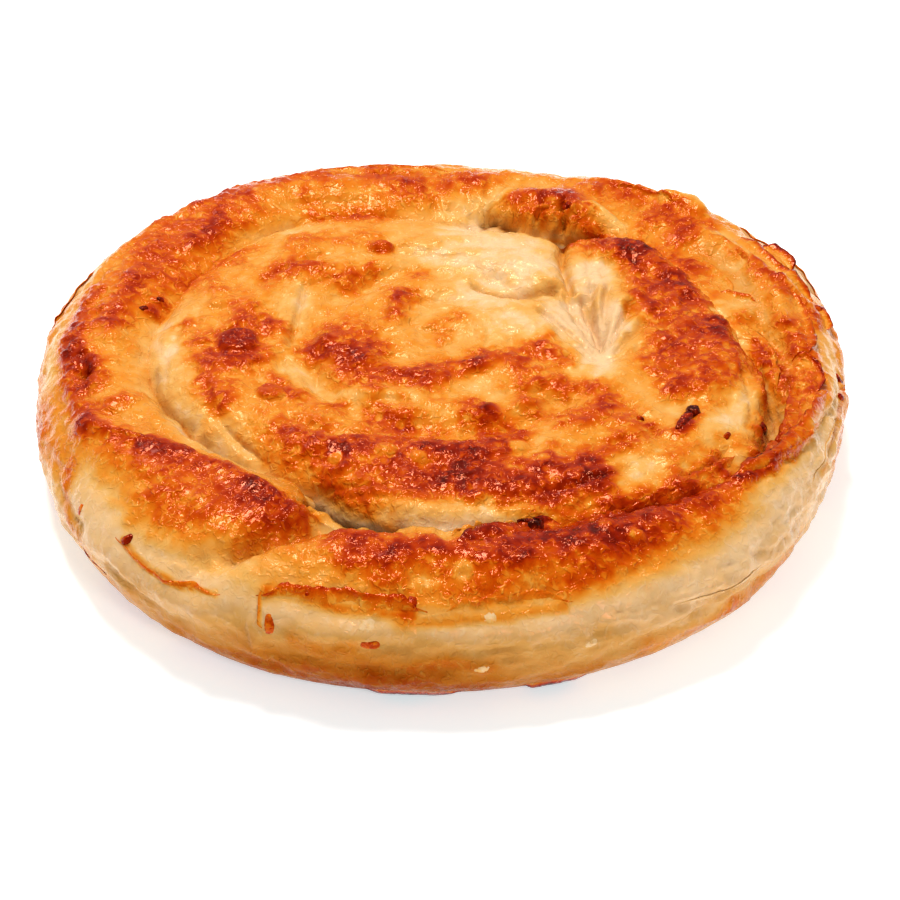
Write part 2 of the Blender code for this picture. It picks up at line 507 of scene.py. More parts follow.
SCORCH_COIL_FRONT = (
    line(-30, -32, -28, -35, -22, -38, 3.4, 0.55), line(-20, -36, -15, -39, -8, -42, 4.4, 0.55),
    line(-32, -31, -12, -40, 8, -43, 9, 0.3), spot(-11.4, -37.9, 2, -1.3), spot(-4.8, -40.4, 1.7, -1),
    line(-1, -38, 3, -39, 8, -41, 4.2, 0.62), line(4, -37, 8, -35, 14, -34, 3.6, 0.35),
    line(1, -47, 5, -49, 10, -50, 4.2, 0.45), line(10, -43, 12, -45, 14, -46, 3, 0.3),
    line(-24, -47, -8, -50, 14, -51, 5, 0.34), line(23, -44, 27, -46, 31, -47, 4.4, 0.7),
    spot(30, -46, 2.6, 0.25), line(17, -48, 21, -50, 26, -51, 3.6, 0.48),
    line(31, -41, 34, -38, 38, -35, 3.4, 0.48), spot(26, -38, 4, 0.2),
    line(40, -26, 41.5, -28, 43, -30, 2.6, 0.55), spot(36, -29, 3.2, 0.2),
    line(43, -36, 46, -42, 44, -50, 4, 0.16), line(-4, -44, 14, -46, 30, -44, 6, 0.3),
    line(14, -53, 24, -52, 34, -48, 3.4, 0.3), spot(12, -40, 4, 0.22),
)
SCORCH_SECOND_TURN = (
    line(31, 44, 37, 45, 44, 39, 2.8, 0.5), line(34, 40, 39, 40, 45, 35, 3.4, 0.35),
    line(45, 35, 49, 30, 52, 25, 4, 0.62), spot(50, 28.5, 2.2, 0.3), line(52, 25, 56, 16, 60, 7, 4.2, 0.58),
    spot(58, 8, 2.2, 0.25), line(44, 26, 44, 20, 46, 14, 3.6, 0.35), line(49, 16, 50, 9, 51, 1, 5, 0.42),
    line(61, 4, 62, -3, 60, -11, 4.4, 0.55), line(46, -4, 48, -9, 49, -16, 3.8, 0.45),
    line(53, 0, 55, -8, 56, -17, 5, 0.5), line(53, -25, 52, -27, 50.5, -31, 1.7, 0.8),
    spot(48.5, -33, 1.6, 0.4), line(57, -38, 57.5, -41, 59, -44, 1.8, 0.6),
    line(51, -38, 53, -42, 50, -47, 4.4, 0.32), spot(60, -33, 2.4, 0.4),
    line(66, -34, 66, -38, 64, -41, 2.6, 0.4), spot(68, -28, 2.4, 0.55), spot(69.6, -22, 1.5, 0.6),
    spot(70, -15, 1.8, 0.5),
)
SCORCH_TURN_FRONT = (
    line(4, -68, 10, -65, 17, -61, 1.7, 0.6), spot(18.5, -60.5, 2, 0.9),
    line(38, -53, 43, -54, 48, -54, 2.8, 0.62), line(18, -66, 22, -66, 27, -65, 3.4, 0.5),
    line(30, -62, 32, -58, 34, -55, 3.4, 0.5), line(27, -67, 33, -66, 38, -63, 4.2, 0.36),
    line(-19, -69, -16, -72, -11, -75, 4.4, 0.48), spot(-13, -73, 2.8, 0.25),
    line(-8, -71, 4, -70, 15, -70, 4.4, 0.44), line(-22, -66, -12, -68, -2, -69, 3, 0.34),
    line(-10, -80, -2, -81, 6, -80, 4, 0.1), line(-4, -74, 16, -74, 36, -69, 5, 0.18),
    line(36, -67, 46, -61, 55, -54, 5, 0.26), line(48, -50, 56, -50, 62, -47, 3, 0.36),
    line(69.5, -40, 68, -44, 62, -47, 1.4, 0.5), line(8, -80, 20, -79, 30, -75, 4, 0.14),
    line(38, -60, 46, -58, 54, -52, 4.4, 0.24), spot(26, -78, 3, 0.12), spot(4.2, -75.8, 2.2, -0.5),
    spot(-4.5, -78.9, 1.6, -0.4), line(10, -68, 24, -67, 40, -62, 5, 0.42),
    line(20, -61, 32, -60, 44, -57, 4, 0.3),
)
SCORCH_TURN_LEFT = (
    line(-75, -27, -69, -31.5, -61, -36, 2.4, 0.52), line(-61, -36.5, -54, -39, -47, -43, 3, 0.46),
    line(-46, -44.5, -41, -48, -35, -52, 2.6, 0.5), line(-52, -43, -44, -48, -34, -53, 4.6, 0.24),
    spot(-56, -41, 4, 0.3), line(-38, -50, -32, -54, -27, -56.5, 2.6, 0.42),
    line(-44, -50, -38, -55, -32, -57, 3.4, 0.3), line(-54, -58, -46, -57, -38, -57, 6, 0.34),
    line(-40, -62, -35, -62, -30, -62, 4.6, 0.26), line(-66, -38, -62, -41, -58, -46, 5, 0.2),
    line(-83, 4, -81, -6, -77, -19, 3, 0.3), line(-74, -26, -71, -22, -68, -19, 3.2, 0.3),
    line(-77.2, -4, -77.4, -8, -76.6, -12, 1.3, 0.75), line(-75, -5, -74, -9, -74, -13, 2.6, 0.45),
    spot(-73.5, -24.5, 1.8, 0.3),
)
SCORCH_TURN_BACK_LEFT = (
    line(-56, 59, -53, 51, -58, 42, 5, 0.4), spot(-54, 45, 3.2, 0.38),
    line(-62, 50, -66, 40, -69, 30, 4.6, 0.44), line(-64, 35, -62, 31, -60, 27, 4, 0.36),
    line(-69, 26, -72, 17, -73, 10, 3.6, 0.48), spot(-64.5, 16, 1.7, 0.75), spot(-62.8, 20, 1.8, 0.55),
    spot(-68, 27, 2, 0.35), spot(-73, 10, 2.2, 0.35), line(-80, 9, -80.5, 4, -79, -2, 2.8, 0.42),
    line(-52, 66, -47, 61, -48, 53, 4.4, 0.36), line(-42, 68, -36, 69, -28, 69, 4.4, 0.32),
    spot(-33, 62, 2.4, 0.42), line(-29, 56, -23, 55, -15, 55, 3.4, 0.42),
    line(-16, 72, -13, 69, -8, 65, 4.4, 0.42), line(-7, 69, 0, 68, 8, 69, 4.6, 0.34),
)
# The last few marks are for the left rim, the left of the front, and the dough beside the pinch
SCORCH_TURN_BACK_RIGHT = (
    line(17, 61, 24, 63, 34, 58, 2.8, 0.46), line(20, 56, 26, 55.5, 33, 53, 2.6, 0.34),
    line(36, 50, 41, 46, 46, 40, 2.6, 0.55), spot(23, 61.5, 1.8, 0.25), spot(29, 60.5, 1.6, 0.25),
    spot(5, 69, 2.8, 0.35), spot(30, 63, 3.4, 0.3), line(38, 67, 44, 64, 49, 61, 3.6, 0.38),
    line(48, 53, 53, 51, 56, 46, 3.2, 0.55), line(54, 57, 58, 54, 61, 51, 3.6, 0.38),
    line(43, 43, 49, 41, 56, 36, 5, 0.34), line(57, 34, 60, 27, 61, 20, 3.4, 0.26),
    spot(66.5, 14.5, 2.8, 0.4), line(72, 34, 74, 29, 78, 22, 1.8, 0.4),
    line(77, 10, 79, 5, 80, 1, 2.4, 0.48), line(85, 22, 85, 17, 84, 13, 2.2, 0.5),
    line(56, 52, 72, 33, 84, 14, 0.8, 0.3), line(67, 41, 73, 22, 78, -6, 0.8, 0.24),
    line(70, 0, 74, -4, 78, -10, 3.6, 0.26), line(83, -8, 83, -11, 81, -15, 2.4, 0.55),
    line(86, -8, 84, -17, 80, -26, 2.6, 0.34), line(70, 6, 70, -6, 69, -16, 3, 0.26),
    line(76, -16, 75, -28, 69, -38, 3.2, 0.26), line(61, -47, 74, -36, 83, -14, 0.8, 0.6),
    line(69, 8, 72, -8, 69, -28, 3.6, 0.22), line(-78, 24, -81, 12, -82, 0, 3, 0.42),
    line(-82, 0, -80, -12, -77, -22, 2.6, 0.26), spot(-56, -50, 7, 0.18),
    line(41, 38, 44, 30, 45, 20, 3, 0.16), line(38, 44, 41, 38, 42, 30, 2.4, 0.2),
)
SCORCHES = (
    SCORCH_COIL_LEFT + SCORCH_COIL_MIDDLE + SCORCH_COIL_FRONT + SCORCH_SECOND_TURN + SCORCH_TURN_FRONT
    + SCORCH_TURN_LEFT + SCORCH_TURN_BACK_LEFT + SCORCH_TURN_BACK_RIGHT
)
# Where the dough stayed pale: strengths below nothing
PALE = (
    line(9, 42, 14, 28, 20, 12, 11, -0.24), line(32, 58, 38, 54, 43, 48, 2, -0.4),
    line(2, 59, 8, 61, 14, 64, 3, -0.34), line(10, 52, 16, 44, 22, 36, 7, -0.16),
    line(31, 16, 33, 4, 34, -10, 5, -0.42), line(-8, 30, 2, 36, 12, 40, 7, -0.06),
    line(34, 32, 36, 20, 38, 8, 4, -0.36), line(-18, -17, -13, -20, -8, -21, 4, -0.26),
    line(-31, -2, -31, -8, -30, -16, 3.6, -0.24), line(-33, 22, -32, 12, -33, 4, 3.6, -0.2),
    line(-60, 12, -59, -6, -54, -24, 5, -0.22), line(-54, -24, -46, -36, -34, -46, 5, -0.22),
    line(-36, 50, -44, 44, -50, 36, 4.4, -0.06), line(-6, 54, 2, 50, 10, 50, 5, -0.06),
    line(36, -46, 44, -42, 50, -36, 5, -0.24), line(12, -36, 20, -36, 26, -36, 4, -0.14),
    line(60, -20, 62, -26, 58, -33, 4.4, -0.22), line(60, 50, 67, 38, 72, 24, 5, -0.26),
    line(66, 20, 73, 10, 75, -4, 3.6, -0.22), line(59, 25, 66, 6, 67, -16, 3.2, -0.4),
    line(-26, -58, -6, -57, 16, -58, 4, -0.42), line(-76, -44, -62, -62, -42, -74, 6, -0.42),
    line(63, -51, 77, -39, 87, -14, 2.4, -0.5), line(53, 62.5, 57, 61, 60.5, 58, 1.8, -0.5),
)
# Painted shade where the dough lies in a fold or an opening; a strength of 1 is a dark opening
PAINTED_SHADE_MARKS = (
    spot(30, 54.5, 1.2, 0.5), spot(26, 52.8, 1.1, 0.6), spot(21.5, 53.2, 0.9, 0.4),
    line(10, 55, 13, 55.5, 16, 53.5, 1.1, 1), line(27.5, 49, 31, 49, 36, 49.5, 1.2, 1),
    line(28, 50, 28, 47, 28, 43.5, 1.3, 1), line(-27, -50.5, -19, -56.5, -9, -60.5, 2.2, 1),
    line(-62, -5, -59.5, -16, -52, -25, 1, 0.42), line(-50, -28, -42, -37, -30, -47, 1.2, 0.35),
    line(-25, -54, -32, -61, -40, -66, 2.4, 0.28), spot(-77, -7, 1.4, 0.5),
    line(70.5, 8, 74, -10, 70, -31, 2.4, 0.2), line(60, 42, 67, 30, 70, 16, 2.2, 0.22),
)


# Raised (above nothing) and pressed (below nothing) forms of the dough, height in millimetres.
# The back gap with the crumpled end of the roll in it, and the pinch that runs from it to the fan of pleats.
FORMS_PINCH = (
    crease(36, 44, 37, 36, 36, 26, 0.6, 0.9), crease(40, 44, 41, 36, 40, 27, 0.6, 0.8),
    crease(33, 44, 33.5, 36, 33, 28, 0.6, 0.9), line(28, 46, 28.5, 28, 32, 14, 3, -0.9),
    line(30, 16, 33, 6, 35, -4, 4.6, -0.8), crease(28, 46, 27.8, 31, 30.5, 21, 1, 3.2),
    crease(30.5, 22, 33, 13, 35, -2, 1, 3.4), crease(24, 26, 29, 14, 34, -1, 0.9, 2.2),
    crease(20, 16, 27, 8, 34, -2, 0.9, 1.8), crease(27, 24, 30, 14, 34, 2, 0.6, 1.5),
    crease(33.5, 27, 33.5, 15, 35, 2, 0.9, 2.2), crease(38, 26, 36, 14, 35.5, 2, 0.9, 2),
    crease(43, 19, 39, 9, 36, 0, 0.9, 2), crease(46, 11, 41, 4, 36.5, -2, 0.8, 1.7),
    crease(24, 8, 29, 2, 34, -4, 0.6, 1.2), crease(45, 2, 40, -2, 36, -4, 0.6, 1.1),
    crease(26, -2, 30, -4, 34, -6, 0.6, 1), line(26, 22, 29.5, 12, 33.5, 1, 1.1, 1.3),
    line(36, 24, 35, 12, 35.5, 3, 1.1, 1.2), line(41, 20, 38, 10, 36, 2, 1.2, 1.1),
    line(45, 14, 40, 6, 36.5, 0, 1.1, 0.6), line(22, 16, 28, 8, 33, 0, 1.1, 0.6),
    line(30, 26, 31.5, 16, 34, 4, 0.9, 0.8), line(16, 60, 24, 62, 34, 56, 4, 1.7),
    line(20, 56, 26, 56.5, 33, 52, 2.4, 1.8), spot(21, 54, 1.6, 1.4), spot(25.5, 53.5, 1.4, 1.8),
    spot(30, 52, 1.3, 1.2), crease(22, 64, 24, 59, 21, 54, 0.7, 1.8),
    crease(30, 62, 28, 57, 30, 52, 0.7, 1.6), crease(18, 60, 26, 59, 34, 54, 0.7, 1.2),
    spot(22, 60.5, 1.5, 1), spot(27, 60, 1.4, 1.2), spot(24, 56, 1.2, 0.9), spot(29, 56.5, 1.3, 0.8),
    line(10, 55.5, 13, 56, 16, 54, 1.3, -2.6), line(27, 48.5, 31, 49, 36, 49.5, 1.5, -2.6),
    spot(28, 47, 2.2, -3), line(32, 58, 38, 54, 43, 48, 1.4, 1.2),
    crease(34, 55.5, 38, 51.5, 41, 48, 0.7, 1.6), crease(4, 62, 10, 58, 13, 55.5, 0.8, 1.4),
    crease(9, 65, 13, 61, 15, 57.5, 0.7, 1.3), crease(-4, 60, 4, 58, 10, 55.5, 0.8, 1.3),
    line(2, 60, 8, 58, 12, 57, 1.2, 0.7), line(8, 63, 12, 60, 14, 58, 1.1, 0.7),
    line(42, 41, 52, 33, 60, 20, 4, 1),
)
# The cushion of dough inside the second turn, its seams and swells
FORMS_COIL = (
    crease(6, 26.5, 14, 22.8, 28, 24.6, 0.8, 2.2), line(10, 25, 16, 22, 25, 22, 2.2, -0.9),
    line(8, 31, 15, 34, 24, 31, 5, 1.1), line(8, 12, 16, 9, 24, 9, 4.4, 0.8),
    crease(-31, 26, -32, 12, -33.5, 0, 0.55, 1.7), crease(-31, 24, -26, 27, -22, 28, 0.7, 0.9),
    crease(-35, 2, -33, -8, -30, -16, 0.9, 0.8), crease(-9, 27, -3, 20, 5, 21, 0.9, 0.9),
    crease(-28, -3, -27, -12, -30, -22, 0.8, 0.7), crease(-16, -20, -10, -19, -4, -22, 0.8, 0.8),
    line(-20, -16, -12, -17, -5, -18, 2.6, 0.9), line(-12, -25, -2, -22, 8, -24, 3, 0.8),
    line(-30, -34, -10, -38, 10, -36, 3.6, 0.9), spot(-44.5, 2.5, 8, 0.5),
    line(-26, 3, -21, 0, -16, -4, 3, 1.2), line(-1, -11, 5, -8, 14, -5, 2.6, 0.7),
    line(18, -22, 22, -25, 27, -28, 3, 0.8), line(22, -44, 28, -46, 34, -45, 2.8, 0.9),
    line(-10, 20, -10, 15, -12, 10, 2.4, 0.7), line(-33, 30, -24, 34, -12, 35, 3.2, 0.7),
    crease(-42, 22, -36, 31, -24, 38, 1, 0.9), crease(-20, 38, -6, 38, 6, 36, 0.9, 0.7),
    crease(-8, 12, -4, 8, 4, 6, 0.9, 0.7), crease(12, -16, 22, -17, 30, -22, 1, 0.9),
    crease(-34, -24, -24, -30, -12, -31, 0.9, 0.7), crease(-50, -12, -46, -27, -34, -40, 0.9, 1),
    crease(-31, -44, -14, -49, 6, -52, 1, 0.8), crease(10, -53, 26, -50, 40, -42, 1, 1.1),
    line(-6, -56, 6, -57, 18, -55, 2.6, 0.7), crease(-2, -54, 12, -55, 26, -52, 0.8, 0.9),
)
# The outer turn: its ridges, the valley where its end tucks under at the front, and its overlapping leaves
FORMS_TURN = (
    line(53, 62.5, 57, 61, 60.5, 58, 2.2, 2.6), line(-76, -26, -57, -36.5, -34, -52, 2.8, 1.6),
    line(-74, -33, -60, -44, -44, -57, 4.5, 0.7), line(-6, -71, 20, -68, 44, -58, 4.6, 0.9),
    line(-24, -59, -36, -66, -48, -70, 3.4, -2.8), crease(-23, -57, -34, -65, -46, -70, 1.2, 1.6),
    spot(-31, -59, 3.2, 0.4), line(-22, -68, -17, -66, -8, -70, 3, 1.2),
    crease(-62, -28, -55, -34, -47, -41, 0.9, 1), crease(-66, -24, -58, -30, -51, -37, 0.9, 0.8),
    spot(-77, -7, 2, -1.8), crease(-78, 0, -77.5, -8, -75, -20, 0.9, 1.4),
    crease(-75, -18, -70, -24, -62, -30, 0.9, 1), line(-70, 28, -73, 16, -73, 4, 3.4, 0.9),
    crease(-62, 42, -66, 32, -68, 20, 0.9, 0.9), ledge(-80, 24, -70, 44, -50, 62, 6, 0.7),
    ledge(-48, 60, -34, 64, -18, 66, 5, 0.5), crease(-44, 55, -30, 60, -14, 60, 1, 0.9),
    crease(-30, 70, -14, 72, 2, 72, 0.9, 0.8), ledge(34, 70, 46, 66, 60, 56, 6, 0.7),
    crease(44, 60, 52, 56, 60, 50, 1, 1.1), ledge(60, 44, 68, 34, 72, 22, 5, 0.8),
    line(60, 40, 67, 28, 71, 14, 3.4, -1.2), ledge(78, 34, 74, 20, 70, 4, 7, 0.9),
    ledge(70, 2, 67, -14, 60, -26, 4, 0.6), line(71, 10, 74, -10, 70, -30, 4.4, -3.4),
    ledge(61, -46, 73, -37, 81, -22, 4.4, 1.7), ledge(78, -26, 84, -14, 85, -4, 3.6, 1.2),
    ledge(66, 10, 72, 0, 75, -14, 4, 0.7), ledge(56, 52, 72, 33, 84, 14, 4, 0.9),
    ledge(67, 41, 73, 22, 78, -6, 4, 0.9), line(-4, -80, 22, -78, 46, -66, 4, -0.5),
    spot(4, -77, 1.5, 0.9, Profile.RING), spot(-8, -79, 1.1, 0.6, Profile.RING),
    spot(20, -77, 0.9, 0.5, Profile.RING), spot(33, -63, 1.8, 0.9), spot(40, -66, 1.4, 0.7),
    spot(45, -60, 1.6, 0.8), spot(51, -55, 1.4, 0.7), spot(28, -68, 1.5, 0.6),
    crease(22, -62, 34, -58, 46, -52, 0.9, 1), crease(48, -46, 56, -41, 60, -34, 0.9, 1.2),
    line(44, -50, 54, -46, 62, -46, 2.6, 0.8), crease(-82, -10, -81, -22, -76, -36, 0.9, 0.7),
)
# The turn inside it, where it comes out of the pinch and runs down the right
FORMS_SECOND_TURN = (
    line(40, 40, 60, 20, 56, -14, 4.6, 1.6), crease(36, 36, 41, 28, 41, 18, 0.9, 0.9),
    crease(42, 36, 46, 26, 45, 15, 0.9, 0.9), crease(49, 30, 50, 20, 46, 10, 0.8, 0.8),
    crease(54, 22, 52, 12, 46, 4, 0.8, 0.8), crease(58, 12, 53, 4, 46, -2, 0.8, 0.7),
    crease(60, 0, 54, -6, 47, -10, 0.8, 0.6), crease(38, -20, 44, -28, 44, -40, 1, 0.8),
    line(28, -22, 38, -28, 44, -38, 3, 0.6), crease(30, -34, 40, -34, 46, -28, 0.9, 0.6),
    line(60, -18, 62, -28, 58, -36, 3, -0.8), crease(64, -6, 66, -18, 64, -30, 0.9, 1),
)
# The end of the roll that shows in the back opening is crumpled all over
CRUMPLE = line(18, 57, 25, 58, 33, 54, 3.6, 1.0)
FORMS = FORMS_PINCH + FORMS_COIL + FORMS_TURN + FORMS_SECOND_TURN
# The blisters that stayed pale where the leaf puffed up
BLISTERS = (
    spot(-11.6, -37.6, 1.5, 2.2), spot(-5, -40, 1.2, 1.5), spot(-67, 22, 1.2, 0.6),
    spot(-12, -33, 1.4, 0.5), spot(15, -44, 1.2, 0.6), spot(-20, -43, 1.3, 0.6), spot(-26, -26, 1.3, 0.6),
    spot(3, -30, 1.2, 0.6), spot(-40, -18, 1.3, 0.6),
)

# Folds, leaf edges and lumps of the side, unrolled: millimetres along the rim to the right of the front, and
# height
SIDE_FORMS = (
    ledge(-44, 20, -60, 20.4, -76, 23, 6, 0.9), ledge(-6, 21.6, -22, 21.8, -38, 23.4, 6, 1),
    ledge(-38, 23.2, -39.5, 18, -38.5, 11, 5, 0.7), ledge(26, 21, 10, 20.6, -6, 20.2, 5, 0.5),
    crease(46, 18.5, 62, 13.5, 80, 12.5, 1.2, 1.5), crease(52, 12.5, 66, 10.5, 84, 8.5, 1, 1),
    line(50, 17, 66, 16, 84, 16, 3, 0.9), crease(60, 20, 78, 17, 98, 15, 1.1, 0.9),
    crease(30, 9.5, 46, 11.5, 60, 11.5, 1, 0.8), crease(-34, 13, -14, 11.5, 8, 13.5, 1, 0.8),
    crease(-2, 16.8, 18, 15.6, 42, 16.8, 0.9, 0.7), line(-30, 9, -4, 7.6, 24, 9, 2.6, 0.6),
    crease(-82, 15, -62, 12, -44, 12.5, 1, 0.9), crease(-70, 8.5, -50, 7, -30, 7.4, 1, 0.7),
    line(-84, 18.5, -66, 16, -50, 16, 2.8, 0.7), crease(-112, 20, -98, 16, -86, 16, 1, 0.8),
    crease(-100, 11, -86, 9, -72, 10.5, 1, 0.7), ledge(-96, 20, -110, 18.6, -126, 20, 5, 0.35),
    crease(96, 11, 116, 13, 136, 12, 1, 0.9), ledge(140, 18, 122, 19, 104, 17.5, 5, 0.7),
    crease(150, 15, 176, 13, 200, 16, 1, 0.8), ledge(214, 18.6, 190, 19.4, 168, 18, 5, 0.7),
    crease(206, 10, 228, 9, 250, 11, 1, 0.8), ledge(266, 20, 246, 19, 224, 19.6, 5, 0.6),
    crease(-150, 14, -172, 12, -196, 15, 1, 0.8), ledge(-150, 19, -170, 18, -192, 19.4, 5, 0.7),
    crease(-204, 9, -228, 11, -252, 9, 1, 0.8), ledge(-214, 19.4, -236, 18.2, -262, 19.6, 5, 0.6),
    spot(7.7, 12, 1.9, 0.7), spot(29, 16, 1.7, 0.7), spot(55, 10, 1.6, 0.6), spot(12, 5, 1.5, 0.5),
    spot(-25, 18.5, 2.2, 0.7), spot(70, 18, 1.9, 0.6), spot(-58, 13, 1.6, 0.5),
)
# Where the side browned, placed in the same way: brown leaf edges, burnt drips at the foot and faint patches
SIDE_SCORCHES = (
    line(-168, 19, -146, 15.5, -122, 14, 4.6, 0.3), line(-150, 9, -136, 9, -118, 10, 3.6, 0.16),
    line(120, 14, 142, 16, 166, 19.5, 4.6, 0.3), line(126, 9, 142, 9, 158, 10, 3.6, 0.14),
    line(-48, 20.1, -62, 18.7, -75, 20, 0.35, 0.36), line(-104, 21, -116, 19, -128, 20, 5, 0.3),
    line(-6, 22.2, -22, 22.6, -38, 23.8, 0.7, 0.5), line(26, 21.8, 10, 21.4, -6, 21, 0.8, 0.3),
    spot(-37.5, 23, 1.2, 0.6), spot(-76, 23.4, 1.3, 0.8), spot(-8, 21.8, 1.8, 0.5),
    line(-12, 0.8, -8, 1.6, -3, 0.8, 1.2, 0.95), line(19, 0.9, 23, 1.8, 28, 0.8, 1.2, 0.9),
    line(-6, 12, 2, 13, 10, 12, 1.6, 0.14), line(-30, 16, -24, 15, -18, 16, 1.8, 0.16),
    line(44, 8, 54, 7, 66, 8, 2.4, 0.22), line(66, 9, 78, 8, 92, 10, 2.8, 0.2),
    line(-60, 3, -48, 2, -36, 3, 1.4, 0.3), line(-92, 14, -84, 10, -76, 7, 2.6, 0.16),
    line(-104, 21, -98, 16, -94, 12, 1.8, 0.24), line(-88, 2, -78, 3, -70, 2, 1.2, 0.55),
    line(84, 3, 92, 3.4, 100, 3, 1.2, 0.35), line(118, 3, 130, 2.6, 142, 3, 1.2, 0.5),
    line(-138, 2, -126, 3, -114, 2, 1.2, 0.45), line(170, 2, 184, 3, 198, 2, 1.3, 0.6),
    line(224, 3, 240, 2, 252, 3, 1.2, 0.5), line(-200, 2, -186, 3, -170, 2, 1.2, 0.55),
    line(-256, 3, -240, 2.4, -226, 3, 1.2, 0.45), line(104, 18.6, 122, 19.4, 140, 17.6, 0.6, 0.2),
    line(168, 16.4, 186, 19.4, 208, 20.6, 0.5, 0.3), line(228, 21.4, 244, 19.6, 258, 16.8, 0.5, 0.26),
    line(-196, 21, -176, 19.2, -160, 15.8, 0.5, 0.28), line(-256, 17.4, -240, 20.2, -222, 20.8, 0.5, 0.28),
)


@dataclass(frozen=True)
class Bubble:
    """A round blister raised by steam: its middle, radius and height in millimetres, and how it browned."""

    x: float
    y: float
    radius: float
    height: float
    browned: float

    def share(self, places: np.ndarray) -> np.ndarray:
        """Return how far out each place is, 1 on the bubble's edge."""
        return np.hypot(places[:, 0] - self.x, places[:, 1] - self.y) / self.radius

    def lift(self, places: np.ndarray) -> np.ndarray:
        """Return how far the bubble lifts each place, with a shallow ditch round it."""
        share = self.share(places)
        ditch = bell(share - 1.25, 0.28)
        return self.height * (np.clip(1.0 - share ** 2, 0.0, 1.0) ** 0.7 - 0.22 * ditch)

    def colour(self, places: np.ndarray, browned: np.ndarray) -> np.ndarray:
        """Return the browning with the bubble's own over it."""
        cover = 1.0 - ramp(self.share(places), 0.75, 1.15)
        return browned + cover * (self.browned - browned)


# The big blister at the left, and small ones over the coil, the front lobe and the rim
BUBBLES = (
    Bubble(-44.6, 1.6, 4.3, 2.8, 0.78), Bubble(-11.4, -38.2, 2.1, 2, 0.4),
    Bubble(-4.8, -40.6, 1.7, 1.5, 0.34), Bubble(4.4, -75.4, 2, 0.9, 0.26),
    Bubble(-4.5, -78.6, 1.3, 0.6, 0.24), Bubble(39, -65.4, 1.7, 1.2, 0.5), Bubble(-67, 22, 1.5, 0.8, 0.36),
    Bubble(33, -63, 1.8, 1.1, 0.62), Bubble(-36.5, -17, 3.2, 1, 0.56), Bubble(-50, 17, 2.2, 0.8, 0.3),
    Bubble(-13.5, 40, 2.4, 0.7, 0.58), Bubble(16, -36, 2.2, 0.9, 0.26), Bubble(6, -33, 1.6, 0.8, 0.34),
    Bubble(-22, -40, 1.5, 0.8, 0.36), Bubble(21, -41, 1.5, 0.8, 0.42),
)


@dataclass(frozen=True)
class SpiralCrease:
    """The faint crease between the first and second turns, winding in round its own middle."""

    middle: tuple[float, float] = (1.0, 4.0)
    outer: float = 36.0
    inner: float = 24.0
    start: float = -28.0
    sweep: float = -317.0
    width: float = 3.4
    depth: float = 1.7

    def press(self, x: np.ndarray, y: np.ndarray) -> np.ndarray:
        """Return how deep the crease presses the dough in.

        Args:
            x: First coordinates.
            y: Second coordinates.

        Returns:
            One depth for each place.
        """
        dx = x - self.middle[0]
        dy = y - self.middle[1]
        turned = (math.radians(self.start) - np.arctan2(dy, dx)) % TAU
        share = turned / math.radians(-self.sweep)
        radius = self.outer + (self.inner - self.outer) * share
        fade = ramp(share, 0.0, 0.08) * (1.0 - ramp(share, 0.82, 1.0))
        return self.depth * fade * bell(np.hypot(dx, dy) - radius, self.width)


# ---------------------------------------------------------------- relief and browning of the dough


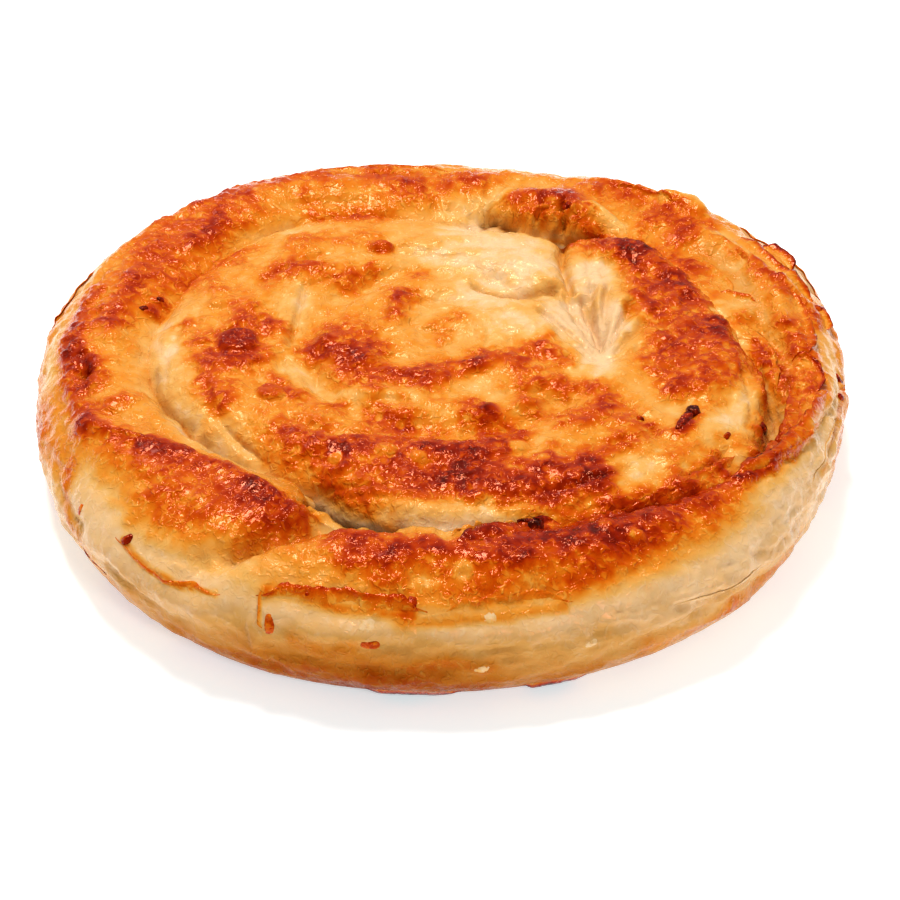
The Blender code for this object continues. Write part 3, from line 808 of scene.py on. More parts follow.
class Dough:
    """The laws that shape and brown the dough, the same for every skin."""

    # Browning without any mark, the most that marks bring it to, and how fast they do
    plain_browning: float = 0.22
    most_browning: float = 0.92
    browning_rate: float = 1.32
    # How far the top's marks are pushed about for ragged edges, and how wide each push is: for the browning,
    # and for folds, which run smoother
    scorch_push: tuple[float, float] = (2.4, 4.6)
    fold_push: tuple[float, float] = (0.8, 6.0)

    def __init__(self) -> None:
        """Set up the noises and the spiral."""
        self.broad = DoughNoise(11)
        self.fine = DoughNoise(23)
        self.warp = DoughNoise(37)
        self.spiral = SpiralCrease()

    def warped(self, places: np.ndarray, reach: float, size: float) -> tuple[np.ndarray, np.ndarray]:
        """Return the plan coordinates of the places, pushed about so that marks get ragged edges.

        Args:
            places: Rows of x, y, z.
            reach: How far a place may be pushed.
            size: How wide each push is.

        Returns:
            The pushed x and y.
        """
        push_x = self.warp.layered(places / size)
        push_y = self.warp.layered(places / size + 31.7)
        return places[:, 0] + reach * push_x, places[:, 1] + reach * push_y

    def browning(self, places: np.ndarray, raised: np.ndarray) -> np.ndarray:
        """Return how browned the dough is, 0 pale to 1 burnt.

        Args:
            places: Rows of x, y, z.
            raised: How far the wrinkles and puffs lift each place, in mm; the oven browns those first.

        Returns:
            One value for each place.
        """
        x, y = self.warped(places, *self.scorch_push)
        radius = np.hypot(places[:, 0], places[:, 1])
        angle = np.arctan2(places[:, 1], places[:, 0])
        # The plain browning, uneven in broad and in fine patches
        base = self.plain_browning + 0.08 * self.broad.layered(places / 12.0)
        base = base + 0.09 * self.fine.layered(places / 3.4)
        base = np.maximum(base + 0.5 * drawn(PALE, x, y), 0.06)
        # The scorches break up into patches at three scales, and blisters in them stay golden
        broken = 1.0 + 0.9 * self.broad.layered(places / 7.0 + 9.0)
        broken = broken + 0.75 * self.fine.layered(places / 2.8 + 5.0)
        broken = broken + 0.25 * self.warp.layered(places / 1.5 + 17.0)
        cells, value = self.fine.cells(places / 3.1 + 13.0)
        golden = (1.0 - ramp(cells, 0.22, 0.44)) * (value > 0.60)
        ragged = drawn(SCORCHES, x, y) * np.maximum(broken, 0.12) * (1.0 - 0.6 * golden)
        ragged = ragged + 0.12 * (raised - 0.8)
        covered = 1.0 - np.exp(-self.browning_rate * np.maximum(ragged, -0.15))
        total = base + (self.most_browning - base) * covered
        # The outer turn lies open to the oven, so it is a little browner all over
        total = total + 0.10 * ramp(radius - PLAN.crease.radius(angle), -2.0, 6.0) * (1.0 - total)
        for bubble in BUBBLES:
            total = bubble.colour(places, total)
        on_top = ramp(PLAN.edge.radius(angle) - radius, 1.5, 8.0) * ramp(places[:, 2], 19.0, 24.0)
        # The side: pale, with painted shade in patches, at the front foot and as a thin brown line along the
        # floor
        rim, height = self.unrolled(places)
        low = 1.0 - ramp(height, 6.0, 19.0)
        side = 0.02 + 0.05 * self.broad.layered(places / 9.0) + (0.03 + 0.13 * low) * self.side_shade_patches(places, rim)
        side = side + 0.26 * (1.0 - ramp(height, 9.0, 23.0)) * bell(rim + 14.0, 44.0)
        side = side + 0.10 * (1.0 - ramp(height, 0.4, 3.0))
        for mark in SIDE_SCORCHES:
            side = side + mark.mark(rim, height) * (1.0 - side)
        return np.clip(side + (total - side) * on_top, 0.0, 1.0)

    def side_shade_patches(self, places: np.ndarray, rim: np.ndarray) -> np.ndarray:
        """Return how much painted shade the side gets, 0 to 1: most at the foot, in long uneven patches.

        Args:
            places: Rows of x, y, z.
            rim: How far along the rim each place is.

        Returns:
            One value for each place.
        """
        patches = self.broad.layered(np.column_stack([rim / 15.0, places[:, 2] / 4.5, rim / 40.0]), 3)
        return np.clip(0.30 + 0.45 * (1.0 - ramp(places[:, 2], 2.0, 14.0)) + 1.1 * patches, 0.0, 1.0)

    def painted_shade(self, places: np.ndarray) -> np.ndarray:
        """Return how much painted shade the dough gets: in folds and openings on top, low on the side, deep
        in the gap.

        Args:
            places: Rows of x, y, z.

        Returns:
            One value for each place, 0 to 1.
        """
        x, y = self.warped(places, *self.fold_push)
        rim, _ = self.unrolled(places)
        # Painted shade along the sharp creases and in the listed folds and openings
        shade = 0.09 * np.minimum(self.pressed(places), 1.6) + drawn(PAINTED_SHADE_MARKS, x, y)
        radius = np.hypot(places[:, 0], places[:, 1])
        inside = PLAN.edge.radius(np.arctan2(places[:, 1], places[:, 0])) - radius
        # On the side: painted shade in patches, darker towards the foot and most at the front, and painted
        # contact shade at the floor
        side = 0.20 * self.side_shade_patches(places, rim) * (1.0 - ramp(places[:, 2], 12.0, 22.0))
        side = side + 0.54 * bell(rim + 12.0, 50.0) * (1.0 - ramp(places[:, 2], 7.0, 24.0))
        side = side + 0.26 * (1.0 - ramp(places[:, 2], 0.3, 4.0))
        on_top = ramp(inside, 1.5, 9.0) * ramp(places[:, 2], 15.0, 22.0)
        # Painted shade deep in the gap below the crease
        deep = 0.9 * (1.0 - ramp(places[:, 2], 13.0, 20.0)) * ramp(inside, 12.0, 15.0)
        return np.clip(side + (shade - side) * on_top + deep, 0.0, 1.0)

    def unrolled(self, places: np.ndarray) -> tuple[np.ndarray, np.ndarray]:
        """Unroll the side, a little unevenly, so that the marks on it get ragged edges.

        Args:
            places: Rows of x, y, z.

        Returns:
            The distances along the rim to the right of the front, and the heights.
        """
        along = np.radians(turn_apart(np.arctan2(places[:, 1], places[:, 0]), 270.0)) * PLAN.edge.mean
        uneven = self.warp.layered(places / 5.0 + 11.0)
        return along + 0.8 * uneven, places[:, 2] + 0.7 * self.warp.layered(places / 6.0 + 23.0)

    def side_forms(self, places: np.ndarray) -> np.ndarray:
        """Return how far the folds and leaf edges on the side lift the dough.

        Args:
            places: Rows of x, y, z.

        Returns:
            The lift in millimetres.
        """
        rim, height = self.unrolled(places)
        streaks = np.column_stack([rim / 13.0, height / 2.4, np.zeros(len(places))])
        puckers = np.column_stack([rim / 3.4, height / 1.9, np.zeros(len(places))])
        lift = drawn(SIDE_FORMS, rim, height) + 0.55 * self.broad.layered(streaks, 2)
        return lift + 0.22 * self.fine.layered(puckers, 2)

    def forms(self, places: np.ndarray) -> np.ndarray:
        """Return how far the placed folds, pinches and blisters lift the dough.

        Args:
            places: Rows of x, y, z.

        Returns:
            The lift in millimetres.
        """
        x, y = self.warped(places, *self.fold_push)
        lift = drawn(FORMS + BLISTERS, x, y) - self.spiral.press(x, y)
        for bubble in BUBBLES:
            lift = lift + bubble.lift(places)
        return lift + 1.5 * CRUMPLE.mark(x, y) * (self.fine.creased(places / 2.3 + 40.0, 2) - 0.3)

    def pressed(self, places: np.ndarray) -> np.ndarray:
        """Return how deep the sharp creases press each place in."""
        x, y = self.warped(places, *self.fold_push)
        return -drawn((mark for mark in FORMS if mark.profile is Profile.CREASE), x, y)

    def wrinkles(
        self, places: np.ndarray, along: np.ndarray, across: np.ndarray, browned: np.ndarray
    ) -> np.ndarray:
        """Return the wrinkles and small blisters of the leaf.

        Args:
            places: Rows of x, y, z.
            along: Rows of two coordinates that run with the roll, closing on themselves.
            across: How far over the roll's section each place is.
            browned: The browning there.

        Returns:
            The lift in millimetres.
        """
        long_folds = self.broad.creased(np.column_stack([along / 15.0, across / 5.0]), 2)
        cross_folds = self.fine.creased(np.column_stack([along / 4.4, across / 8.0]), 2)
        swells = self.broad.layered(places / 13.0 + 3.0, 2)
        cells, value = self.fine.cells(places / 2.4)
        puffs = np.sqrt(np.clip(0.60 - cells, 0.0, 1.0)) * (value > 0.35)
        crinkle = self.fine.creased(places / 1.7 + 7.0, 2)
        rough = 0.45 + 0.55 * ramp(browned, 0.15, 0.5)
        lumps = 0.55 * self.broad.layered(places / 6.0 + 51.0, 2) + 0.70 * ramp(browned, 0.28, 0.75)
        folds = 0.85 * swells + lumps + 0.50 * long_folds + 0.18 * cross_folds
        return folds + rough * (0.50 * puffs + 0.24 * crinkle)


# ---------------------------------------------------------------- meshes


@dataclass
class SkinMesh:
    """Vertices in millimetres, faces, and the values painted on the vertices."""

    name: str
    vertices: np.ndarray
    faces: Faces
    paint: dict[str, np.ndarray] = field(default_factory=dict)

    def build(self, material: bpy.types.Material) -> bpy.types.Object:
        """Make the Blender object, smooth shaded, with its paint as point attributes.

        Args:
            material: The finish it wears.

        Returns:
            The new object, linked to the scene.
        """
        place = self.vertices.copy()
        place[:, :2] -= PLAN.middle()
        mesh = bpy.data.meshes.new(self.name)
        mesh.from_pydata((place * MM).tolist(), [], self.faces)
        mesh.update()
        for label, values in self.paint.items():
            layer = mesh.attributes.new(label, "FLOAT", "POINT")
            layer.data.foreach_set("value", np.ascontiguousarray(values, dtype=np.float32))
        mesh.shade_smooth()
        mesh.materials.append(material)
        made = bpy.data.objects.new(self.name, mesh)
        bpy.context.scene.collection.objects.link(made)
        return made


def grid_normals(grid: np.ndarray, wrap_rows: bool, wrap_columns: bool) -> np.ndarray:
    """Return unit normals of a grid of places.

    Args:
        grid: Places, rows by columns by three.
        wrap_rows: Whether the last row meets the first.
        wrap_columns: Whether the last column meets the first.

    Returns:
        Normals in the same layout.
    """
    def slope(axis: int, wrap: bool) -> np.ndarray:
        """Return the step along one axis of the grid."""
        if wrap:
            return np.roll(grid, -1, axis=axis) - np.roll(grid, 1, axis=axis)
        return np.gradient(grid, axis=axis)

    normal = np.cross(slope(0, wrap_rows), slope(1, wrap_columns))
    return unit(normal)


def unit(vectors: np.ndarray) -> np.ndarray:
    """Return vectors scaled to length one along the last axis."""
    return vectors / np.maximum(np.linalg.norm(vectors, axis=-1, keepdims=True), 1e-9)


def grid_faces(rows: int, columns: int, wrap_rows: bool, wrap_columns: bool) -> Faces:
    """Return the quads of a grid whose vertices are numbered row by row.

    Args:
        rows: How many rows of vertices there are.
        columns: How many columns.
        wrap_rows: Whether the last row meets the first.
        wrap_columns: Whether the last column meets the first.

    Returns:
        The faces.
    """
    faces: Faces = []
    for row in range(rows if wrap_rows else rows - 1):
        low = row * columns
        high = (row + 1) % rows * columns
        for column in range(columns if wrap_columns else columns - 1):
            beside = (column + 1) % columns
            faces.append((low + column, low + beside, high + beside, high + column))
    return faces


@dataclass
class OuterTurn:
    """The outermost turn of the roll: a closed ring of dough round the coil."""

    dough: Dough
    along: int = 1120
    inner_steps: int = 24
    top_steps: int = 30
    side_steps: int = 24
    base_steps: int = 4
    wall_steps: int = 3
    # How far the turn's foot reaches in under the coil, so that the gaps between them have a floor of dough
    tuck: float = 4.5

    def section(self, angle: np.ndarray) -> tuple[np.ndarray, np.ndarray]:
        """Return radius and height of the roll's section in each direction, starting down in the crease.

        Args:
            angle: Directions, as a column.

        Returns:
            Two grids, one row for each direction.
        """
        edge = PLAN.edge.radius(angle)
        shoulder = PLAN.shoulder(angle)
        crown = edge - shoulder
        half = crown - PLAN.crease.radius(angle)
        reach = half + PLAN.overlap(angle, half)
        top = swelled(angle, PLAN.turn_height, PLAN.taller)
        under = swelled(angle, PLAN.base_shoulder, PLAN.undercut)
        bulge = swelled(angle, PLAN.lip_round, PLAN.squarer)
        level = np.ones_like(angle)
        # Up out of the crease to the crown
        turn = np.linspace(0.0, QUARTER_TURN, self.inner_steps)[None, :]
        radius = [crown - reach * np.abs(np.cos(turn)) ** bulge]
        height = [PLAN.foot_height + (top - PLAN.foot_height) * np.sin(turn) ** bulge]
        # From the crown out to the widest part of the side
        turn = np.linspace(0.0, QUARTER_TURN, self.top_steps + 1)[None, 1:]
        radius.append(crown + shoulder * np.sin(turn))
        height.append(PLAN.widest_height + (top - PLAN.widest_height) * np.cos(turn))
        # Down and in under the side to the floor
        turn = np.linspace(0.0, QUARTER_TURN, self.side_steps + 1)[None, 1:]
        radius.append(edge - under * (1.0 - np.cos(turn)))
        height.append(level * PLAN.widest_height * (1.0 - np.sin(turn)))
        # In along the floor to under the coil, and up the hidden wall
        share = np.linspace(0.0, 1.0, self.base_steps + 1)[None, 1:]
        base = edge - under
        wall = crown - reach
        radius.append(base + (wall - self.tuck - base) * share)
        height.append(np.zeros_like(radius[-1]))
        share = np.linspace(0.0, 1.0, self.wall_steps + 2)[None, 1:-1]
        radius.append(wall - self.tuck * (1.0 - share))
        height.append(level * PLAN.foot_height * share)
        return np.hstack(radius), np.hstack(height)

    def skin(self) -> SkinMesh:
        """Shape and brown the turn.

        Returns:
            Its closed mesh.
        """
        angle = np.linspace(0.0, TAU, self.along, endpoint=False)[:, None]
        radius, height = self.section(angle)
        grid = np.stack([radius * np.cos(angle), radius * np.sin(angle), height], axis=2)
        normal = -grid_normals(grid, True, True)
        steps = np.linalg.norm(np.diff(grid, axis=1), axis=2)
        across = np.hstack([np.zeros((self.along, 1)), np.cumsum(steps, axis=1)])
        mean = np.array([PLAN.edge.mean * 0.84])
        ring = np.stack([mean * np.cos(angle), mean * np.sin(angle)], axis=2)
        along = np.broadcast_to(ring, (*across.shape, 2)).reshape(-1, 2)
        places = grid.reshape(-1, 3)
        facing = normal.reshape(-1, 3)
        browned = self.dough.browning(places, np.full(len(places), 0.5))
        on_top = ramp(places[:, 2], 12.0, 22.0) * ramp(facing[:, 2], -0.2, 0.2)
        loose = ramp(places[:, 2], 0.5, 5.0) * ramp(facing[:, 2], -0.95, -0.3)
        raised = self.dough.wrinkles(places, along, across.ravel(), browned)
        on_side = ramp(facing[:, 2], 0.75, 0.35) * loose
        lift = self.dough.forms(places) * on_top + raised * (0.45 + 0.55 * on_top) * loose
        lift = lift + (self.dough.side_forms(places) + 0.35 * raised) * on_side
        moved = places + facing * (lift - 0.75 * loose)[:, None]
        moved[:, 2] = under_height(np.maximum(moved[:, 2], 0.0))
        browned = self.dough.browning(places, raised)
        painted_shade = self.dough.painted_shade(places)
        faces = grid_faces(*across.shape, True, True)
        return SkinMesh("outer_turn", moved, faces, {"browning": browned, "painted_shade": painted_shade})


@dataclass
class InnerCoil:
    """The turns inside the outer one, grown together into one cushion of dough."""

    dough: Dough
    cells: int = 286
    flat_share: float = 0.66
    wall_rings: int = 3
    base_rings: int = 5

    def disc(self) -> tuple[np.ndarray, np.ndarray]:
        """Bend a square grid into a round disc.

        Returns:
            The share of the radius and the direction of each vertex.
        """
        side = np.linspace(-1.0, 1.0, self.cells + 1)
        u, v = np.meshgrid(side, side, indexing="ij")
        x = u * np.sqrt(1.0 - 0.5 * v * v)
        y = v * np.sqrt(1.0 - 0.5 * u * u)
        return np.hypot(x, y), np.arctan2(y, x)

    def place(self, share: np.ndarray, angle: np.ndarray) -> np.ndarray:
        """Return where a share of the way over the cushion lies.

        Args:
            share: 0 in the middle, 1 down in the crease.
            angle: The direction.

        Returns:
            The places, with x, y and z in a last axis.
        """
        shoulder = PLAN.coil_shoulder
        flat = PLAN.crease.radius(angle) - shoulder
        reach = shoulder + PLAN.overlap(angle, np.full_like(angle, shoulder))
        turn = np.clip((share - self.flat_share) / (1.0 - self.flat_share), 0.0, 1.0) * QUARTER_TURN
        radius = flat * np.minimum(share / self.flat_share, 1.0) + reach * np.sin(turn) ** PLAN.coil_round
        crown = PLAN.coil_height - 0.8 * bell(radius, 34.0)
        height = PLAN.foot_height + (crown - PLAN.foot_height) * np.abs(np.cos(turn)) ** PLAN.coil_round
        return np.stack([radius * np.cos(angle), radius * np.sin(angle), height], axis=-1)

    def border(self) -> list[int]:
        """Find the grid's outermost vertices.

        Returns:
            Their numbers, in order round the disc.
        """
        last = self.cells
        width = last + 1
        rows = [(i, 0) for i in range(last)] + [(last, j) for j in range(last)]
        rows += [(i, last) for i in range(last, 0, -1)] + [(0, j) for j in range(last, 0, -1)]
        return [i * width + j for i, j in rows]

    def skin(self) -> SkinMesh:
        """Shape and brown the cushion.

        Returns:
            Its closed mesh.
        """
        share, angle = self.disc()
        grid = self.place(share, angle)
        normal = grid_normals(grid, False, False)
        places = grid.reshape(-1, 3)
        facing = normal.reshape(-1, 3)
        facing = facing * np.sign(facing[:, 2:3] + 1e-6)
        middle = np.array(self.dough.spiral.middle)
        from_middle = places[:, :2] - middle
        across = np.linalg.norm(from_middle, axis=1)
        spread = 26.0 * ramp(across, 2.0, 14.0)
        along = from_middle / np.maximum(across, 1.0)[:, None] * spread[:, None]
        browned = self.dough.browning(places, np.full(len(places), 0.5))
        on_top = ramp(places[:, 2], 12.0, 20.0)
        raised = self.dough.wrinkles(places, along, across, browned)
        lift = self.dough.forms(places) * on_top + raised * (0.3 + 0.7 * on_top)
        moved = places + facing * (lift - 0.4)[:, None]
        moved[:, 2] = under_height(moved[:, 2])
        browned = self.dough.browning(places, raised)
        width = self.cells + 1
        faces = [(a, d, c, b) for a, b, c, d in grid_faces(width, width, False, False)]
        return self.closed(moved, faces, {"browning": browned, "painted_shade": self.dough.painted_shade(places)})

    def closed(self, places: np.ndarray, faces: Faces, paint: dict[str, np.ndarray]) -> SkinMesh:
        """Close the cushion with a wall below the crease and a flat base.

        Args:
            places: The cushion's vertices.
            faces: Its faces.
            paint: What is painted on its vertices.

        Returns:
            The closed mesh.
        """
        ring = self.border()
        rim = places[ring]
        points = [places]
        count = len(places)
        shares = [(1.0, 1.0 - (k + 1) / self.wall_rings) for k in range(self.wall_rings)]
        shares += [(1.0 - (k + 1) / (self.base_rings + 1), 0.0) for k in range(self.base_rings)]
        for out, up in shares:
            points.append(np.column_stack([rim[:, 0] * out, rim[:, 1] * out, rim[:, 2] * up]))
            below = list(range(count, count + len(ring)))
            for k in range(len(ring)):
                after = (k + 1) % len(ring)
                faces.append((ring[k], below[k], below[after], ring[after]))
            ring = below
            count += len(ring)
        points.append(np.zeros((1, 3)))
        for k in range(len(ring)):
            faces.append((ring[k], count, ring[(k + 1) % len(ring)]))
        everything = np.vstack(points)
        more = len(everything) - len(places)
        hidden = np.full(more, HIDDEN_PAINT)
        painted = {label: np.concatenate([values, hidden]) for label, values in paint.items()}
        return SkinMesh("inner_coil", everything, faces, painted)


# ---------------------------------------------------------------- torn leaves and crumbs on the skins


class Lies(Enum):
    """Which coordinates a loose leaf or a crumb is placed with."""

    TOP = "top"  # x and y in the plan
    SIDE = "side"  # millimetres along the rim to the right of the front, and height


@dataclass(frozen=True)
class TornLeaf:
    """A torn edge of leaf that curled off the dough, with its root on a curve through three places.

    It reaches to the left of the curve as it runs, by reach along the dough and by lift off it.
    """

    root: Stroke
    reach: float
    lift: float
    burnt: float
    tatter: float = 0.5
    thick: float = 0.4
    lies: Lies = Lies.TOP


@dataclass(frozen=True)
class Crumb:
    """A flake or crumb baked onto the dough.

    It has a place, a length and width, how far it is turned in degrees, a thickness and how it browned.
    """

    place: tuple[float, float]
    size: tuple[float, float]
    turned: float
    thick: float
    burnt: float
    lies: Lies = Lies.TOP


def leaf(
    x0: float, y0: float, x1: float, y1: float, x2: float, y2: float,
    reach: float, lift: float, burnt: float, tatter: float = 0.5, thick: float = 0.4,
) -> TornLeaf:
    """Return a torn leaf on the top."""
    return TornLeaf(line(x0, y0, x1, y1, x2, y2, 1.0, 1.0), reach, lift, burnt, tatter, thick)


def side_leaf(
    u0: float, z0: float, u1: float, z1: float, u2: float, z2: float,
    reach: float, lift: float, burnt: float, tatter: float = 0.5, thick: float = 0.35,
) -> TornLeaf:
    """Return a torn leaf on the side."""
    return TornLeaf(line(u0, z0, u1, z1, u2, z2, 1.0, 1.0), reach, lift, burnt, tatter, thick, Lies.SIDE)


# The lip over the front opening, pale to the left and burnt to the right
LIP_LEAVES = (
    leaf(-27, -53, -19, -59.5, -9, -62.5, 1.8, 0.5, 0.24, 0.4, 0.5),
    leaf(-12, -62.5, -4, -64, 4, -63.5, 1.7, 0.5, 0.22, 0.5, 0.5),
    leaf(2, -64, 6.5, -63, 10, -61.5, 3, 1.5, 0.34, 0.8, 0.4),
    leaf(9, -62, 12.5, -61.5, 16, -60.5, 2.2, 1.1, 0.34, 0.8, 0.4),
    leaf(3, -68.5, 11, -65.5, 18, -62, 1.8, 1.5, 0.8, 0.5, 0.9),
    leaf(15, -63, 19, -61.5, 24, -59.5, 2.2, 1.8, 0.92, 0.4, 1.2),
)
# Overlapping sheets inside and over the right rim, and the flaps that stand off it
RIM_LEAVES = (
    leaf(59.5, -46.5, 74, -35, 83, -12.5, 1.6, 1.8, 0.64, 0.5, 0.5),
    leaf(76.5, -1.5, 81, -5.5, 81, -14, 1, 1.2, 0.84, 0.4, 0.5),
    leaf(67, -38.5, 74.5, -25, 76, -7, 1.4, 1.2, 0.66, 0.4),
    leaf(63, 24.5, 66, 22.5, 70.5, 20.5, 1.6, 0.6, 0.66, 0.3),
    leaf(69.5, 47, 76, 34.5, 84, 24, 1.3, 0.9, 0.7, 0.5),
    leaf(79, 23, 80.5, 11, 80, -1, 1.3, 0.8, 0.62, 0.5),
    leaf(74.5, 45, 78, 40.5, 80.5, 35.5, 0.8, 1.8, 0.93, 0.2, 0.35),
    leaf(66, 14, 71, 4, 72.5, -10, 1.2, 0.6, 0.42, 0.4), leaf(62, 46, 67, 40, 70, 33, 1.2, 0.5, 0.45, 0.4),
    leaf(84.5, 22, 86, 18, 86.5, 14, 0.8, 0.5, 0.74, 0.4),
    leaf(57, 40, 62, 33, 66, 25, 1.2, 0.5, 0.34, 0.3), leaf(40, 67.5, 48, 64.5, 55, 59, 1, 0.5, 0.66, 0.5),
)
# The crumpled end of the roll in the back opening, and the back rim
BACK_LEAVES = (
    leaf(33, 59, 38, 54, 43, 48.5, 1.6, 0.7, 0.12, 0.3, 0.6),
    leaf(10, 57, 13.5, 60.5, 18, 65, 1.4, 0.7, 0.1, 0.2, 0.6),
    leaf(-30, 72, -14, 74.5, 2, 74, 1, 0.3, 0.55, 0.5),
)
# The ridge over the left valley, and the ragged crest of the ridge at the right of the front
FRONT_LEAVES = (
    leaf(-70, -31, -60, -36, -50, -41, 0.9, 0.6, 0.7, 0.6),
    leaf(50, -47.5, 57, -43, 61, -37, 1.3, 0.8, 0.6, 0.6),
    leaf(28, -58.5, 38, -55.5, 48, -49, 1.4, 0.8, 0.66, 0.7, 0.5),
)
# Leaf edges round the side, at the front first and then on the parts that are hidden in the photograph
SIDE_LEAVES = (
    side_leaf(-39.5, 21.6, -22, 22.6, -3, 22.2, 1.5, 0.8, 0.7, 0.6),
    side_leaf(-36.4, 17, -37.2, 20, -38.6, 22.8, 0.8, 0.5, 0.46, 0.5),
    side_leaf(-77, 19.8, -63, 18.4, -47, 20.2, 0.5, 0.3, 0.52, 0.15),
    side_leaf(1, 22.4, 12, 22.6, 28, 21.8, 0.9, 0.4, 0.46, 0.6),
    side_leaf(-91, 9.2, -86, 8.8, -80, 8.6, 1, 0.3, 0.7, 0.5),
    side_leaf(4, 3.6, -6, 4.2, -16, 3.8, 1.8, 0.5, 0.92, 0.9),
    side_leaf(31, 3.4, 24, 4, 17, 3.6, 1.5, 0.5, 0.9, 0.8),
    side_leaf(50, 16.4, 62, 14.8, 74, 14.6, 0.8, 0.15, 0.08, 0.1),
    side_leaf(100, 19.4, 112, 20.2, 124, 19.4, 0.5, 0.1, 0.16, 0.2),
    side_leaf(168, 16.6, 186, 19.6, 206, 20.8, 0.9, 0.5, 0.5, 0.6),
    side_leaf(228, 21.4, 244, 19.8, 258, 17, 0.9, 0.5, 0.46, 0.6),
    side_leaf(-256, 17.6, -240, 20.4, -222, 21, 0.9, 0.5, 0.48, 0.6),
    side_leaf(-196, 21.2, -176, 19.4, -160, 16, 0.9, 0.5, 0.46, 0.5),
    side_leaf(196, 8.2, 184, 9, 170, 8.4, 1.6, 0.6, 0.84, 0.7),
    side_leaf(-186, 8.6, -200, 9.2, -214, 8.4, 1.6, 0.5, 0.8, 0.7),
)
LEAVES = LIP_LEAVES + RIM_LEAVES + BACK_LEAVES + FRONT_LEAVES + SIDE_LEAVES
# Burnt flakes and crumbs on the top, then burnt ones on the side, and last the faint pale ovals on its front
CRUMBS = (
    Crumb((51.2, -27.6), (8.8, 2.2), 62, 1, 0.84), Crumb((53.2, -24.4), (3, 2.6), 30, 1.4, 0.92),
    Crumb((41.8, -26.7), (1.8, 1.2), 20, 0.6, 0.88), Crumb((59.8, -31.5), (2.4, 1.2), 60, 0.6, 0.74),
    Crumb((68.3, -23.9), (2.6, 1.4), 70, 0.7, 0.88), Crumb((18.8, -61.2), (3.8, 3), 20, 2, 0.93),
    Crumb((29.5, 57), (2.4, 1.8), 70, 1, 0.84), Crumb((24, 57.5), (2.4, 2), 10, 1, 0.5),
    Crumb((-66.5, 16.5), (2.2, 1.6), 40, 0.5, 0.86), Crumb((-63.2, 20.5), (1.8, 1.4), 0, 0.5, 0.84),
    Crumb((-74, 20.4), (2.4, 1.8), 30, 0.5, 0.74, Lies.SIDE),
    Crumb((-28.6, 23.6), (1.8, 1.1), 10, 0.5, 0.72, Lies.SIDE),
    Crumb((-6.3, 23.3), (2.2, 1.2), -10, 0.4, 0.72, Lies.SIDE),
    Crumb((-14.3, 16.8), (4.3, 1.8), -4, 0.35, 0.6, Lies.SIDE),
    Crumb((-35.1, 17.8), (1.9, 4.2), 14, 0.35, 0.58, Lies.SIDE),
    Crumb((140.2, 19), (2.2, 1.5), 60, 0.7, 0.8, Lies.SIDE),
    Crumb((132.6, 19.2), (1.8, 1.4), 10, 0.6, 0.8, Lies.SIDE),
    Crumb((163, 21.6), (3.4, 2), 40, 0.8, 0.72, Lies.SIDE),
    Crumb((-91.1, 18.2), (1.6, 2.4), 10, 0.35, 0.55, Lies.SIDE),
    Crumb((206, 14), (3, 1.6), 30, 0.4, 0.6, Lies.SIDE),
    Crumb((-168, 15), (2.2, 3), 20, 0.4, 0.6, Lies.SIDE),
    Crumb((-15.2, 20.3), (3.6, 1.9), 0, 0.14, 0.05, Lies.SIDE),
    Crumb((10.1, 21), (3.2, 1.6), 0, 0.14, 0.06, Lies.SIDE),
    Crumb((30.3, 14.3), (3.4, 2), 8, 0.14, 0.04, Lies.SIDE),
    Crumb((7.9, 12.1), (3.6, 1.8), 4, 0.14, 0.05, Lies.SIDE),
)


class DoughSurface:
    """The finished skins, to lay loose leaves and crumbs on."""

    # A ray starts this far above the floor, or this far out from the axis, in millimetres. One that finds no
    # dough is taken to end a little way on.
    above: float = 60.0
    outside: float = 130.0
    missed: float = 40.0

    def __init__(self, skins: list[SkinMesh]) -> None:
        """Gather the skins' faces.

        Args:
            skins: The skins.
        """
        corners: list[list[float]] = []
        faces: Faces = []
        for skin in skins:
            count = len(corners)
            corners += skin.vertices.tolist()
            faces += [tuple(corner + count for corner in face) for face in skin.faces]
        self.tree = BVHTree.FromPolygons(corners, faces)

    def at(self, first: float, second: float, lies: Lies) -> tuple[np.ndarray, np.ndarray]:
        """Return the place on the dough, and the way that faces out there.

        Args:
            first: x, or the distance along the rim.
            second: y, or the height.
            lies: Which of them.

        Returns:
            The place and the unit normal.
        """
        if lies is Lies.TOP:
            start = Vector((first, second, self.above))
            way = Vector((0.0, 0.0, -1.0))
        else:
            turn = math.radians(270.0) + first / PLAN.edge.mean
            out = Vector((math.cos(turn), math.sin(turn), 0.0))
            start = out * self.outside + Vector((0.0, 0.0, second))
            way = -out
        place, normal, _, _ = self.tree.ray_cast(start, way)
        if place is None:
            return np.array([*(start + way * self.missed)]), np.array([*(-way)])
        if normal.dot(way) > 0.0:
            normal = -normal
        return np.array([*place]), np.array([*normal])

    def grid(self, first: np.ndarray, second: np.ndarray, lies: Lies) -> tuple[np.ndarray, np.ndarray]:
        """Return places and smoothed normals for a grid of coordinates.

        Args:
            first: First coordinates, rows by columns.
            second: Second coordinates.
            lies: Which coordinates they are.

        Returns:
            Places and unit normals, rows by columns by three.
        """
        found = [[self.at(a, b, lies) for a, b in zip(*pair)] for pair in zip(first, second)]
        places = np.array([[place for place, _ in row] for row in found])
        normals = np.array([[normal for _, normal in row] for row in found])
        return smoothed(places, 1), unit(smoothed(normals, 4))


def settled(places: np.ndarray) -> np.ndarray:
    """Keep a loose part just off the floor and under the highest crests.

    Args:
        places: The part's places.

    Returns:
        The places, moved up or down where they have to be.
    """
    kept = places.copy()
    kept[..., 2] = under_height(np.maximum(kept[..., 2], LOOSE_FLOOR), LOOSE_BEND)
    return kept


